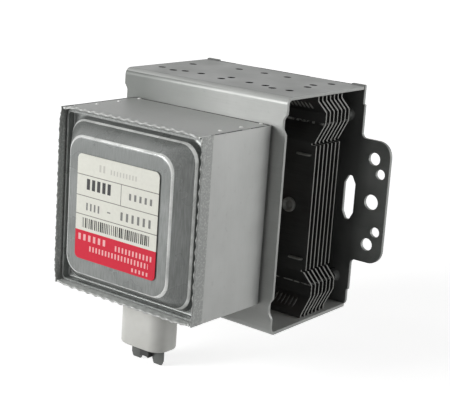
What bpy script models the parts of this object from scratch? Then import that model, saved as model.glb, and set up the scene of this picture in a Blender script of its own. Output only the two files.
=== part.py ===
"""Magnetron for a microwave oven: tube, magnets, fins, yoke and filter box.

Frame: metres, +Z up. The origin is on the antenna's axis, at the outer face of
the mounting plate. +Y runs along the antenna and away from the filter box.
"""

import math

import bmesh
import bpy
from mathutils import Vector

# Gap kept between two pieces that touch on the real tube
CLEARANCE = 0.0003

# Magnet rings, one on each side of the anode
MAGNET_DIAMETER = 0.0490
MAGNET_BORE_MARGIN = 0.0013
MAGNET_THICKNESS = 0.0120
MAGNET_CHAMFER = 0.0007

# Anode cylinder with a seat for a pole piece at each end
ANODE_DIAMETER = 0.0390
ANODE_LENGTH = 0.0246
ANODE_WALL = 0.0032
ANODE_SEAT_STEP = 0.0010

# Anode vanes, and the strap rings in their end notches
VANE_COUNT = 10
VANE_THICKNESS = 0.0020
VANE_HEIGHT = 0.0095
VANE_TIP_RADIUS = 0.0048
STRAP_SETBACK = 0.0012
STRAP_SPACING = 0.0006
STRAP_WALL = 0.0008
STRAP_HEIGHT = 0.0012
STRAP_FREE_GAP = 0.0005

# Pole pieces: dished steel rings that close the anode
POLE_SHEET = 0.0016
POLE_BORE = 0.0092
POLE_TIP_WIDTH = 0.0022
POLE_DISH_RADIUS = 0.0115
POLE_TO_VANE_GAP = 0.0014

# Cathode: a helical filament between two end hats, on two leads
FILAMENT_RADIUS = 0.0021
FILAMENT_WIRE = 0.0006
FILAMENT_TURNS = 7
FILAMENT_POINTS = 8
END_HAT_RADIUS = 0.0037
END_HAT_THICKNESS = 0.0008
END_HAT_HUB_RADIUS = 0.0016
END_HAT_HUB_HEIGHT = 0.0007
LEAD_DIAMETER = 0.0012
LEAD_SPREAD = 0.0034
LEAD_OFFSET = 0.0024
LEAD_JOG = 0.0040
SPACER_RADIUS = 0.0046
SPACER_THICKNESS = 0.0025

# Metal sleeves that close the tube at both ends
SLEEVE_RADIUS = 0.0093
SLEEVE_WALL = 0.0006
SLEEVE_FLANGE = 0.0008
SLEEVE_INPUT_REACH = 0.0040
SLEEVE_OUTPUT_REACH = 0.0036
SLEEVE_SHOULDER = 0.0014
SLEEVE_HOLE_MARGIN = 0.0009

# Stem on the input side, and the lugs on its pins
STEM_LENGTH = 0.0097
STEM_PIN_REACH = 0.0042
STEM_LUG_WIDTH = 0.0046
STEM_LUG_LENGTH = 0.0090
STEM_LUG_THICKNESS = 0.0010

# Antenna on the output side
ANTENNA_LEAD_DIAMETER = 0.0014
ANTENNA_LEAD_START = 0.0096
ANTENNA_CERAMIC_RADIUS = 0.0068
ANTENNA_CERAMIC_WALL = 0.0017
ANTENNA_CERAMIC_LENGTH = 0.0085
EXHAUST_RADIUS = 0.0024
EXHAUST_WALL = 0.0008
EXHAUST_FLANGE = 0.0008
EXHAUST_LENGTH = 0.0055
CAP_WALL = 0.0005
CAP_SKIRT = 0.0025
CAP_ROUNDING = 0.0016
CAP_ROUNDING_INSET = 0.0005

# Woven gasket round the antenna, and the ring that it is pressed into
GASKET_WIDTH = 0.0056
GASKET_HEIGHT = 0.0048
GASKET_ROUNDING = 0.0012
SEAT_WALL = 0.0006
SEAT_HEIGHT = 0.0016

# Cooling fins: a flat middle with a hole, and a cranked wing above and below
FIN_COUNT = 7
FIN_PITCH = 0.00262
FIN_SHEET = 0.0006
FIN_SIDE_MARGIN = 0.0009
FIN_WING_INSET = 0.0009
FIN_SLIT_DEPTH = 0.0022
FIN_SLIT = 0.0008
FIN_RISE = 0.0064
FIN_RISE_HEIGHT = 0.0067
FIN_CREST = 0.0045
FIN_RETURN = 0.0062
FIN_RETURN_HEIGHT = 0.0050
FIN_TIP = 0.0017
FIN_BEND_RADIUS = 0.0010
FIN_COLLAR_WALL = 0.0006
FIN_END_MARGIN = 0.0007
FIN_TAB_WIDTH = 0.0064
FIN_TAB_INSET = 0.0049
FIN_TAB_DROP = 0.0042
FIN_BOSS_GAP = 0.0057
FIN_BOSS_RADIUS = 0.0029
FIN_BOSS_HEIGHT = 0.0011

# Yoke bracket: one steel strip bent into a U round the fins
YOKE_WIDTH = 0.0800
YOKE_SHEET = 0.0016
YOKE_BEND_RADIUS = 0.0026
YOKE_NOTCH_DEPTH = 0.0014
YOKE_NOTCH_LENGTH = 0.0076
YOKE_NOTCH_SLOPE = 0.0020
YOKE_NOTCH_HEIGHT = 0.0352
TENON_WIDTH = 0.0120
TENON_SPREAD = 0.0190

# Mounting plate with an ear on each side
PLATE_SHEET = 0.0016
PLATE_SIDE_STEP = 0.0007
PLATE_SHOULDER = 0.0382
PLATE_CORNER_RADIUS = 0.0025
PLATE_LIP_RISE = 0.0005
PLATE_LIP_WIDTH = 0.0062
EAR_REACH = 0.0140
EAR_HEIGHT = 0.0500
EAR_CORNER_RADIUS = 0.0060
EAR_FILLET_RADIUS = 0.0020
EAR_HOLE_OFFSET = 0.0075
EAR_HOLE_HEIGHT = 0.0175
EAR_HOLE_DIAMETER = 0.0051
EAR_PILOT_OFFSET = 0.0108
EAR_PILOT_HEIGHT = 0.0118
EAR_PILOT_DIAMETER = 0.0041
EAR_CENTRE_OFFSET = 0.0078
EAR_CENTRE_DIAMETER = 0.0062
SLOT_INSET = 0.0028
SLOT_LENGTH = 0.0181
SLOT_WIDTH = 0.0052
SLOT_END_WIDTH = 0.0018
SLOT_END_TAPER = 0.0032
DIMPLE_INSET = 0.0062
DIMPLE_HEIGHT = 0.0335
DIMPLE_RADIUS = 0.0031
DIMPLE_RISE = 0.0022
DIMPLE_SLOPE = 0.55

# Filter box on the yoke's front, open to the front
BOX_WIDTH = 0.0688
BOX_HEIGHT = 0.0687
BOX_DEPTH = 0.0403
BOX_SHEET = 0.0008
BOX_CORNER_RADIUS = 0.0012

# Cover: a drawn pan whose rim stands inside the lip of the filter box
COVER_SHEET = 0.0008
COVER_RIM_RADIUS = 0.0011
COVER_GUTTER_DEPTH = 0.0056
COVER_GUTTER_WIDTH = 0.0011
COVER_WALL_RISE = 0.0024
COVER_WALL_RUN = 0.0005
COVER_SIDE_SLOPE_RUN = 0.0062
COVER_END_SLOPE_RUN = 0.0050
COVER_PANEL_RISE = 0.0040
COVER_EDGE_RADIUS = 0.0014
COVER_PANEL_RADIUS = 0.0066
COVER_EDGE_STEPS = 2

# Blank data label on the cover
LABEL_WIDTH = 0.0400
LABEL_HEIGHT = 0.0398
LABEL_THICKNESS = 0.0002
LABEL_CORNER_RADIUS = 0.0020

# Capacitor and connector in the bottom of the filter box
CONNECTOR_GAP = 0.0006
SHROUD_SIDE_ROOM = 0.0015
SHROUD_FRONT_ROOM = 0.0031
SHROUD_CORNER_RADIUS = 0.0060
SHROUD_DROP = 0.0201
SHROUD_WALL = 0.0016
SHROUD_FLOOR = 0.0060
CAPACITOR_FLANGE_MARGIN = 0.0032
CAPACITOR_FLANGE_SHEET = 0.0008
CAPACITOR_WIDTH = 0.0220
CAPACITOR_THICKNESS = 0.0110
CAPACITOR_HEIGHT = 0.0060
CAPACITOR_CORNER_RADIUS = 0.0028
TERMINAL_PITCH = 0.0106
TERMINAL_WIDTH = 0.0054
TERMINAL_SHEET = 0.0008
TERMINAL_REACH = 0.0068
TERMINAL_INNER_REACH = 0.0036
TERMINAL_TIP_INSET = 0.0008
TERMINAL_TIP_LENGTH = 0.0018
INSULATOR_THICKNESS = 0.0048
INSULATOR_REACH = 0.0050
INSULATOR_ARCH = 0.0006

# Choke coils between the stem and the capacitor
CHOKE_SETBACK = 0.0093
CHOKE_SPREAD = 0.0100
CHOKE_RADIUS = 0.0032
CHOKE_WIRE = 0.0013
CHOKE_TURNS = 5.25
CHOKE_POINTS = 9
CHOKE_TAIL = 0.0032
CHOKE_START_DROP = 0.0008
CHOKE_CORE_OVERHANG = 0.0012

# Distance at which points merge, in metres, and the angle of a flat face, in degrees
WELD_DISTANCE = 0.000005
FLAT_ANGLE = 0.1

# Facets round each kind of turned piece
STEPS_LARGE = 30
STEPS_MEDIUM = 24
STEPS_SMALL = 12
STEPS_WIRE_HOLE = 8
ARC_STEPS = 4

# Share of a side that a rounded corner may take up
CORNER_ROOM = 0.48

# Places along the antenna's axis, from the mounting plate to the yoke's front
PLATE_INNER_Y = -PLATE_SHEET
MAGNET_OUTPUT_Y = PLATE_INNER_Y - CLEARANCE
ANODE_OUTPUT_Y = MAGNET_OUTPUT_Y - MAGNET_THICKNESS - CLEARANCE
ANODE_INPUT_Y = ANODE_OUTPUT_Y - ANODE_LENGTH
ANODE_CENTRE_Y = (ANODE_OUTPUT_Y + ANODE_INPUT_Y) / 2
MAGNET_INPUT_Y = ANODE_INPUT_Y - CLEARANCE
YOKE_INNER_Y = MAGNET_INPUT_Y - MAGNET_THICKNESS - CLEARANCE
YOKE_FRONT_Y = YOKE_INNER_Y - YOKE_SHEET
BOX_BACK_Y = YOKE_FRONT_Y - CLEARANCE
BOX_LIP_Y = BOX_BACK_Y - BOX_DEPTH
COVER_GUTTER_Y = BOX_LIP_Y + COVER_GUTTER_DEPTH
STEM_INNER_Y = YOKE_FRONT_Y - SLEEVE_INPUT_REACH
STEM_OUTER_Y = STEM_INNER_Y - CLEARANCE - STEM_LENGTH
CHOKE_Y = STEM_OUTER_Y - CHOKE_SETBACK
COVER_PANEL_Y = BOX_LIP_Y - COVER_PANEL_RISE

# Radii that follow from the sleeves, the vanes and the anode
MAGNET_BORE_RADIUS = SLEEVE_RADIUS + MAGNET_BORE_MARGIN
STRAP_RADIUS_INNER = VANE_TIP_RADIUS + STRAP_SETBACK
STRAP_RADIUS_OUTER = STRAP_RADIUS_INNER + STRAP_WALL + STRAP_SPACING
ANODE_RADIUS = ANODE_DIAMETER / 2
ANODE_BORE_RADIUS = ANODE_RADIUS - ANODE_WALL
SEAT_BORE_RADIUS = ANODE_BORE_RADIUS + ANODE_SEAT_STEP
POLE_RADIUS = SEAT_BORE_RADIUS - CLEARANCE
POLE_FACE_DEPTH = CLEARANCE + SLEEVE_FLANGE + CLEARANCE
VANE_RADIUS = ANODE_BORE_RADIUS - CLEARANCE

# Heights that follow from the fins: the yoke closes on their tips
FIN_MIDDLE_HALF = MAGNET_DIAMETER / 2 + CLEARANCE
FIN_WING_START = FIN_MIDDLE_HALF + FIN_SLIT
FIN_HALF_HEIGHT = FIN_WING_START + FIN_RISE_HEIGHT + FIN_CREST + FIN_RETURN_HEIGHT + FIN_TIP
YOKE_INNER_HALF = FIN_HALF_HEIGHT + CLEARANCE
YOKE_HALF_HEIGHT = YOKE_INNER_HALF + YOKE_SHEET
CAPACITOR_STACK = BOX_SHEET + CAPACITOR_FLANGE_SHEET + 2 * CLEARANCE + CAPACITOR_HEIGHT
TERMINAL_TOP_Z = CAPACITOR_STACK + TERMINAL_INNER_REACH - BOX_HEIGHT / 2

# Widths that follow from the yoke, and the places of the holes across it
YOKE_HALF_WIDTH = YOKE_WIDTH / 2
PLATE_HALF_WIDTH = YOKE_HALF_WIDTH + PLATE_SIDE_STEP
EAR_HALF_WIDTH = PLATE_HALF_WIDTH + EAR_REACH
EAR_HOLE_X = YOKE_HALF_WIDTH + EAR_HOLE_OFFSET
EAR_PILOT_X = YOKE_HALF_WIDTH + EAR_PILOT_OFFSET
EAR_CENTRE_X = YOKE_HALF_WIDTH + EAR_CENTRE_OFFSET
SLOT_X = YOKE_HALF_WIDTH - SLOT_INSET
DIMPLE_X = YOKE_HALF_WIDTH - DIMPLE_INSET
FIN_HALF_WIDTH = YOKE_HALF_WIDTH - FIN_SIDE_MARGIN
FIN_HOLE_RADIUS = ANODE_RADIUS + CLEARANCE
FIN_BOSS_X = FIN_HOLE_RADIUS + FIN_COLLAR_WALL + FIN_BOSS_GAP + FIN_BOSS_RADIUS
FIN_TAB_X = FIN_HALF_WIDTH - FIN_TAB_INSET
FIN_TAB_Z = FIN_MIDDLE_HALF - FIN_TAB_DROP

# Half sizes of the shroud, which leaves room round the terminals
SHROUD_HALF_WIDTH = (TERMINAL_PITCH + TERMINAL_WIDTH) / 2 + SHROUD_SIDE_ROOM + SHROUD_WALL
SHROUD_HALF_DEPTH = INSULATOR_THICKNESS / 2 + SHROUD_FRONT_ROOM + SHROUD_WALL

# The capacitor's flange lies just behind the gutter of the cover
FLANGE_HALF_DEPTH = SHROUD_HALF_DEPTH + CAPACITOR_FLANGE_MARGIN
CONNECTOR_Y = COVER_GUTTER_Y + COVER_SHEET + CONNECTOR_GAP + FLANGE_HALF_DEPTH

FINISHES = {
    "zinc_steel": ((0.46, 0.47, 0.46), 0.85, 0.38),
    "brushed_steel": ((0.36, 0.37, 0.36), 0.85, 0.42),
    "dark_steel": ((0.09, 0.10, 0.09), 0.60, 0.50),
    "aluminium": ((0.55, 0.55, 0.54), 0.90, 0.35),
    "ferrite": ((0.03, 0.03, 0.03), 0.00, 0.60),
    "copper": ((0.72, 0.36, 0.22), 1.00, 0.30),
    "tungsten": ((0.30, 0.30, 0.31), 0.90, 0.45),
    "ceramic": ((0.80, 0.76, 0.72), 0.00, 0.35),
    "brass_mesh": ((0.62, 0.48, 0.24), 0.90, 0.45),
    "off_white_plastic": ((0.70, 0.70, 0.67), 0.00, 0.45),
    "dark_plastic": ((0.04, 0.04, 0.04), 0.00, 0.50),
    "epoxy": ((0.10, 0.16, 0.24), 0.00, 0.40),
    "paper": ((0.78, 0.78, 0.72), 0.00, 0.60),
}


def clear_scene():
    for item in list(bpy.data.objects):
        bpy.data.objects.remove(item, do_unlink=True)


def new_collection(name):
    group = bpy.data.collections.new(name)
    bpy.context.scene.collection.children.link(group)
    return group


def add_finish(item, finish):
    """Give an object a material of its own, with the finish's values."""
    colour, metallic, roughness = FINISHES[finish]
    surface = bpy.data.materials.new(item.name + "_" + finish)
    surface.use_nodes = True
    shader = surface.node_tree.nodes["Principled BSDF"]
    shader.inputs["Base Color"].default_value = (*colour, 1.0)
    shader.inputs["Metallic"].default_value = metallic
    shader.inputs["Roughness"].default_value = roughness
    item.data.materials.append(surface)


def place(item, finish):
    """Put an object with the model, or with the cutters if it has no finish."""
    group = CUTTERS if finish is None else MODEL
    group.objects.link(item)
    if finish is None:
        item.hide_render = True
        item.display_type = "WIRE"
    else:
        item.parent = ROOT
        add_finish(item, finish)
    return item


def from_bmesh(name, mesh_data, finish):
    mesh = bpy.data.meshes.new(name)
    mesh_data.to_mesh(mesh)
    mesh_data.free()
    return place(bpy.data.objects.new(name, mesh), finish)


def weld(mesh):
    """Close a mesh's seams and merge the triangles of each flat face."""
    mesh_data = bmesh.new()
    mesh_data.from_mesh(mesh)
    bmesh.ops.remove_doubles(mesh_data, verts=mesh_data.verts, dist=WELD_DISTANCE)
    bmesh.ops.dissolve_limit(
        mesh_data,
        angle_limit=math.radians(FLAT_ANGLE),
        verts=mesh_data.verts,
        edges=mesh_data.edges,
    )
    mesh_data.to_mesh(mesh)
    mesh_data.free()


def evaluated_mesh(item):
    """The mesh that an object has once its modifiers or curve settings act."""
    graph = bpy.context.evaluated_depsgraph_get()
    return bpy.data.meshes.new_from_object(item.evaluated_get(graph))


def mesh_from_curve(curve_item, name, finish):
    """Replace a curve with its welded mesh, so that it can be cut or joined."""
    MODEL.objects.link(curve_item)
    bpy.context.view_layer.update()
    mesh = evaluated_mesh(curve_item)
    matrix = curve_item.matrix_world.copy()
    bpy.data.objects.remove(curve_item, do_unlink=True)
    weld(mesh)
    mesh.name = name
    mesh.materials.clear()
    item = bpy.data.objects.new(name, mesh)
    item.matrix_world = matrix
    return place(item, finish)


def box(name, low, high, finish=None):
    """A block between two opposite corners."""
    size = [b - a for a, b in zip(low, high)]
    centre = [(a + b) / 2 for a, b in zip(low, high)]
    mesh_data = bmesh.new()
    bmesh.ops.create_cube(mesh_data, size=1.0)
    bmesh.ops.scale(mesh_data, vec=size, verts=mesh_data.verts)
    item = from_bmesh(name, mesh_data, finish)
    item.location = centre
    return item


def cone(name, centre, radii, y_range, finish=None, steps=STEPS_SMALL):
    """A cone or cylinder along Y, from the first radius to the second."""
    mesh_data = bmesh.new()
    bmesh.ops.create_cone(
        mesh_data,
        cap_ends=True,
        segments=steps,
        radius1=radii[0],
        radius2=radii[1],
        depth=y_range[1] - y_range[0],
    )
    item = from_bmesh(name, mesh_data, finish)
    item.rotation_euler = (-math.pi / 2, 0.0, 0.0)
    item.location = (centre[0], (y_range[0] + y_range[1]) / 2, centre[1])
    return item


def turned(name, profile, finish, steps=STEPS_MEDIUM):
    """Turn a profile of (radius, y) points about the antenna's axis."""
    pairs = list(zip(profile, profile[1:] + profile[:1]))
    area = sum(a[0] * b[1] - b[0] * a[1] for a, b in pairs)
    points = profile if area < 0 else profile[::-1]
    mesh_data = bmesh.new()
    corners = [mesh_data.verts.new((radius, 0.0, y)) for radius, y in points]
    edges = list(zip(corners, corners[1:]))
    touches_axis = points[0][0] == 0.0
    if not touches_axis:
        edges.append((corners[-1], corners[0]))
    for start, end in edges:
        mesh_data.edges.new((start, end))
    item = from_bmesh(name, mesh_data, finish)
    screw = item.modifiers.new("turn", "SCREW")
    screw.steps = steps
    screw.render_steps = steps
    screw.use_merge_vertices = True
    screw.merge_threshold = WELD_DISTANCE
    screw.use_smooth_shade = False
    if touches_axis:
        joint = item.modifiers.new("close_axis", "WELD")
        joint.merge_threshold = WELD_DISTANCE
    item.rotation_euler = (-math.pi / 2, 0.0, 0.0)
    return item


def circle(centre, radius, steps):
    angles = [2 * math.pi * step / steps for step in range(steps)]
    return [(centre[0] + radius * math.cos(a), centre[1] + radius * math.sin(a)) for a in angles]


def rounded(corners, steps=ARC_STEPS):
    """An outline from (x, z, radius) corners, with each radius as an arc."""
    points = []
    for index, (x, z, radius) in enumerate(corners):
        corner = Vector((x, z))
        before = Vector(corners[index - 1][:2]) - corner
        after = Vector(corners[(index + 1) % len(corners)][:2]) - corner
        if radius <= 0.0:
            points.append((x, z))
            continue
        half_angle = before.angle(after) / 2
        room = CORNER_ROOM * min(before.length, after.length)
        reach = min(radius / math.tan(half_angle), room)
        radius = reach * math.tan(half_angle)
        towards = (before.normalized() + after.normalized()).normalized()
        centre = corner + towards * radius / math.sin(half_angle)
        start = corner + before.normalized() * reach - centre
        end = corner + after.normalized() * reach - centre
        sweep = math.atan2(start.cross(end), start.dot(end))
        for step in range(steps + 1):
            turn = sweep * step / steps
            cos_turn = math.cos(turn)
            sin_turn = math.sin(turn)
            points.append((
                centre.x + start.x * cos_turn - start.y * sin_turn,
                centre.y + start.x * sin_turn + start.y * cos_turn,
            ))
    return points


def bent(corners, radius, steps):
    """An open path whose inner corners are rounded to about the radius."""
    path = [Vector(corners[0])]
    for before, corner, after in zip(corners, corners[1:], corners[2:]):
        corner = Vector(corner)
        back = Vector(before) - corner
        onwards = Vector(after) - corner
        bend = math.pi - back.angle(onwards)
        room = CORNER_ROOM * min(back.length, onwards.length)
        reach = min(radius * math.tan(bend / 2), room)
        start = corner + back.normalized() * reach
        end = corner + onwards.normalized() * reach
        for step in range(steps + 1):
            part = step / steps
            path.append(start.lerp(corner, part).lerp(corner.lerp(end, part), part))
    path.append(Vector(corners[-1]))
    return [tuple(point) for point in path]


def rounded_box(half_width, half_height, radius, steps=ARC_STEPS):
    sides = ((1, -1), (1, 1), (-1, 1), (-1, -1))
    return rounded([(sx * half_width, sz * half_height, radius) for sx, sz in sides], steps)


def outline_curve(name, loops, depth):
    """A filled 2D curve of closed loops; inner loops are holes."""
    curve = bpy.data.curves.new(name, "CURVE")
    curve.dimensions = "2D"
    curve.fill_mode = "BOTH"
    curve.extrude = depth / 2
    for loop in loops:
        spline = curve.splines.new("POLY")
        spline.points.add(len(loop) - 1)
        spline.use_cyclic_u = True
        for point, (x, z) in zip(spline.points, loop):
            point.co = (x, z, 0.0, 1.0)
    return bpy.data.objects.new(name + "_outline", curve)


def plate(name, loops, y_range, finish=None):
    """A flat sheet in the XZ plane, between two places along Y."""
    item = outline_curve(name, loops, y_range[1] - y_range[0])
    item.rotation_euler = (math.pi / 2, 0.0, 0.0)
    item.location = (0.0, (y_range[0] + y_range[1]) / 2, 0.0)
    return mesh_from_curve(item, name, finish)


def column(name, loops, centre, z_range, finish=None):
    """An upright solid with an outline in the XY plane."""
    item = outline_curve(name, loops, z_range[1] - z_range[0])
    item.location = (centre[0], centre[1], (z_range[0] + z_range[1]) / 2)
    return mesh_from_curve(item, name, finish)


def wire(name, points, diameter, finish=None):
    """A round wire through the points, with closed ends."""
    curve = bpy.data.curves.new(name, "CURVE")
    curve.dimensions = "3D"
    curve.bevel_depth = diameter / 2
    curve.bevel_resolution = 2
    curve.use_fill_caps = True
    spline = curve.splines.new("POLY")
    spline.points.add(len(points) - 1)
    for point, place_on_wire in zip(spline.points, points):
        point.co = (*place_on_wire, 1.0)
    item = bpy.data.objects.new(name + "_path", curve)
    return mesh_from_curve(item, name, finish)


def carve(item, tool, operation="DIFFERENCE"):
    change = item.modifiers.new(tool.name, "BOOLEAN")
    change.operation = operation
    change.solver = "EXACT"
    change.object = tool
    return item


def bent_strip(name, path, width, thickness, finish=None):
    """A sheet bent along a (y, z) path, which is its outer face."""
    mesh_data = bmesh.new()
    row = [mesh_data.verts.new((-width / 2, y, z)) for y, z in path]
    edges = [mesh_data.edges.new(pair) for pair in zip(row, row[1:])]
    grown = bmesh.ops.extrude_edge_only(mesh_data, edges=edges)
    moved = [part for part in grown["geom"] if isinstance(part, bmesh.types.BMVert)]
    bmesh.ops.translate(mesh_data, verts=moved, vec=(width, 0.0, 0.0))
    bmesh.ops.recalc_face_normals(mesh_data, faces=mesh_data.faces)
    item = from_bmesh(name, mesh_data, finish)
    sheet = item.modifiers.new("sheet", "SOLIDIFY")
    sheet.thickness = thickness
    sheet.use_even_offset = True
    return item


def lofted_sheet(name, rings, thickness, finish):
    """A drawn sheet through rings of (x, y, z) points, closed on the last ring."""
    mesh_data = bmesh.new()
    loops = [[mesh_data.verts.new(point) for point in ring] for ring in rings]
    for outer, inner in zip(loops, loops[1:]):
        for index, corner in enumerate(outer):
            before = index - 1
            mesh_data.faces.new((outer[before], corner, inner[index], inner[before]))
    mesh_data.faces.new(loops[-1])
    item = from_bmesh(name, mesh_data, finish)
    sheet = item.modifiers.new("sheet", "SOLIDIFY")
    sheet.thickness = thickness
    sheet.use_even_offset = True
    return item


def make_magnets():
    outer = MAGNET_DIAMETER / 2
    bore = MAGNET_BORE_RADIUS
    ends = (
        ("magnet_input", MAGNET_INPUT_Y - MAGNET_THICKNESS),
        ("magnet_output", MAGNET_OUTPUT_Y - MAGNET_THICKNESS),
    )
    for name, low in ends:
        high = low + MAGNET_THICKNESS
        profile = [
            (outer - MAGNET_CHAMFER, high),
            (outer, high - MAGNET_CHAMFER),
            (outer, low + MAGNET_CHAMFER),
            (outer - MAGNET_CHAMFER, low),
            (bore, low),
            (bore, high),
        ]
        turned(name, profile, "ferrite", STEPS_LARGE)


def make_anode():
    seat_depth = POLE_FACE_DEPTH + POLE_SHEET + CLEARANCE
    profile = [
        (ANODE_RADIUS, ANODE_OUTPUT_Y),
        (ANODE_RADIUS, ANODE_INPUT_Y),
        (SEAT_BORE_RADIUS, ANODE_INPUT_Y),
        (SEAT_BORE_RADIUS, ANODE_INPUT_Y + seat_depth),
        (ANODE_BORE_RADIUS, ANODE_INPUT_Y + seat_depth),
        (ANODE_BORE_RADIUS, ANODE_OUTPUT_Y - seat_depth),
        (SEAT_BORE_RADIUS, ANODE_OUTPUT_Y - seat_depth),
        (SEAT_BORE_RADIUS, ANODE_OUTPUT_Y),
    ]
    turned("anode_cylinder", profile, "copper", STEPS_LARGE)


def vane_outline(inner_gap, outer_gap):
    """A vane seen from its side, with a stepped notch in each end for the straps."""
    half = VANE_HEIGHT / 2
    notch_start = STRAP_RADIUS_INNER - CLEARANCE
    notch_middle = (STRAP_RADIUS_INNER + STRAP_WALL + STRAP_RADIUS_OUTER) / 2
    notch_end = STRAP_RADIUS_OUTER + STRAP_WALL + CLEARANCE
    inner_floor = half - STRAP_HEIGHT - inner_gap
    outer_floor = half - STRAP_HEIGHT - outer_gap
    top = [
        (VANE_RADIUS, half),
        (notch_end, half),
        (notch_end, outer_floor),
        (notch_middle, outer_floor),
        (notch_middle, inner_floor),
        (notch_start, inner_floor),
        (notch_start, half),
        (VANE_TIP_RADIUS, half),
    ]
    bottom = [(radius, -height) for radius, height in reversed(top)]
    return top + bottom


def make_vanes():
    for index in range(VANE_COUNT):
        seated = CLEARANCE
        gaps = (seated, STRAP_FREE_GAP) if index % 2 else (STRAP_FREE_GAP, seated)
        name = "anode_vane_" + str(index + 1)
        sides = (-VANE_THICKNESS / 2, VANE_THICKNESS / 2)
        vane = plate(name, [vane_outline(*gaps)], sides, "copper")
        turn = 2 * math.pi * index / VANE_COUNT
        vane.rotation_euler = (0.0, turn, 0.0)
        vane.location = (0.0, ANODE_CENTRE_Y, 0.0)


def make_straps():
    half = VANE_HEIGHT / 2
    for end, direction in (("input", -1), ("output", 1)):
        for size, radius in (("inner", STRAP_RADIUS_INNER), ("outer", STRAP_RADIUS_OUTER)):
            face = ANODE_CENTRE_Y + direction * half
            floor = face - direction * STRAP_HEIGHT
            profile = [
                (radius + STRAP_WALL, face),
                (radius + STRAP_WALL, floor),
                (radius, floor),
                (radius, face),
            ]
            turned("strap_ring_" + end + "_" + size, profile, "copper", STEPS_MEDIUM)


def make_pole_pieces():
    tip_depth = (ANODE_LENGTH - VANE_HEIGHT) / 2 - POLE_TO_VANE_GAP
    bore = POLE_BORE / 2
    tip = bore + POLE_TIP_WIDTH
    section = [
        (POLE_RADIUS, POLE_FACE_DEPTH),
        (POLE_RADIUS, POLE_FACE_DEPTH + POLE_SHEET),
        (POLE_DISH_RADIUS + POLE_SHEET / 2, POLE_FACE_DEPTH + POLE_SHEET),
        (tip, tip_depth),
        (bore, tip_depth),
        (bore, tip_depth - POLE_SHEET),
        (tip - POLE_SHEET / 2, tip_depth - POLE_SHEET),
        (POLE_DISH_RADIUS, POLE_FACE_DEPTH),
    ]
    for name, start, inward in (
        ("pole_piece_input", ANODE_INPUT_Y, 1),
        ("pole_piece_output", ANODE_OUTPUT_Y, -1),
    ):
        profile = [(radius, start + inward * depth) for radius, depth in section]
        turned(name, profile, "zinc_steel", STEPS_MEDIUM)


def make_sleeves():
    flange_start = CLEARANCE
    flange_end = CLEARANCE + SLEEVE_FLANGE
    bore = SLEEVE_RADIUS - SLEEVE_WALL
    neck = ANTENNA_CERAMIC_RADIUS
    neck_bore = ANTENNA_CERAMIC_RADIUS - ANTENNA_CERAMIC_WALL
    profile_input = [
        (POLE_RADIUS, ANODE_INPUT_Y + flange_start),
        (POLE_RADIUS, ANODE_INPUT_Y + flange_end),
        (bore, ANODE_INPUT_Y + flange_end),
        (bore, STEM_INNER_Y),
        (SLEEVE_RADIUS, STEM_INNER_Y),
        (SLEEVE_RADIUS, ANODE_INPUT_Y + flange_start),
    ]
    turned("seal_sleeve_input", profile_input, "zinc_steel")
    profile_output = [
        (POLE_RADIUS, ANODE_OUTPUT_Y - flange_start),
        (POLE_RADIUS, ANODE_OUTPUT_Y - flange_end),
        (bore, ANODE_OUTPUT_Y - flange_end),
        (bore, SLEEVE_OUTPUT_REACH - SLEEVE_SHOULDER - SLEEVE_WALL),
        (neck_bore, SLEEVE_OUTPUT_REACH - SLEEVE_WALL),
        (neck_bore, SLEEVE_OUTPUT_REACH),
        (neck, SLEEVE_OUTPUT_REACH),
        (SLEEVE_RADIUS, SLEEVE_OUTPUT_REACH - SLEEVE_SHOULDER),
        (SLEEVE_RADIUS, ANODE_OUTPUT_Y - flange_start),
    ]
    turned("seal_sleeve_output", profile_output, "zinc_steel")


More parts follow.
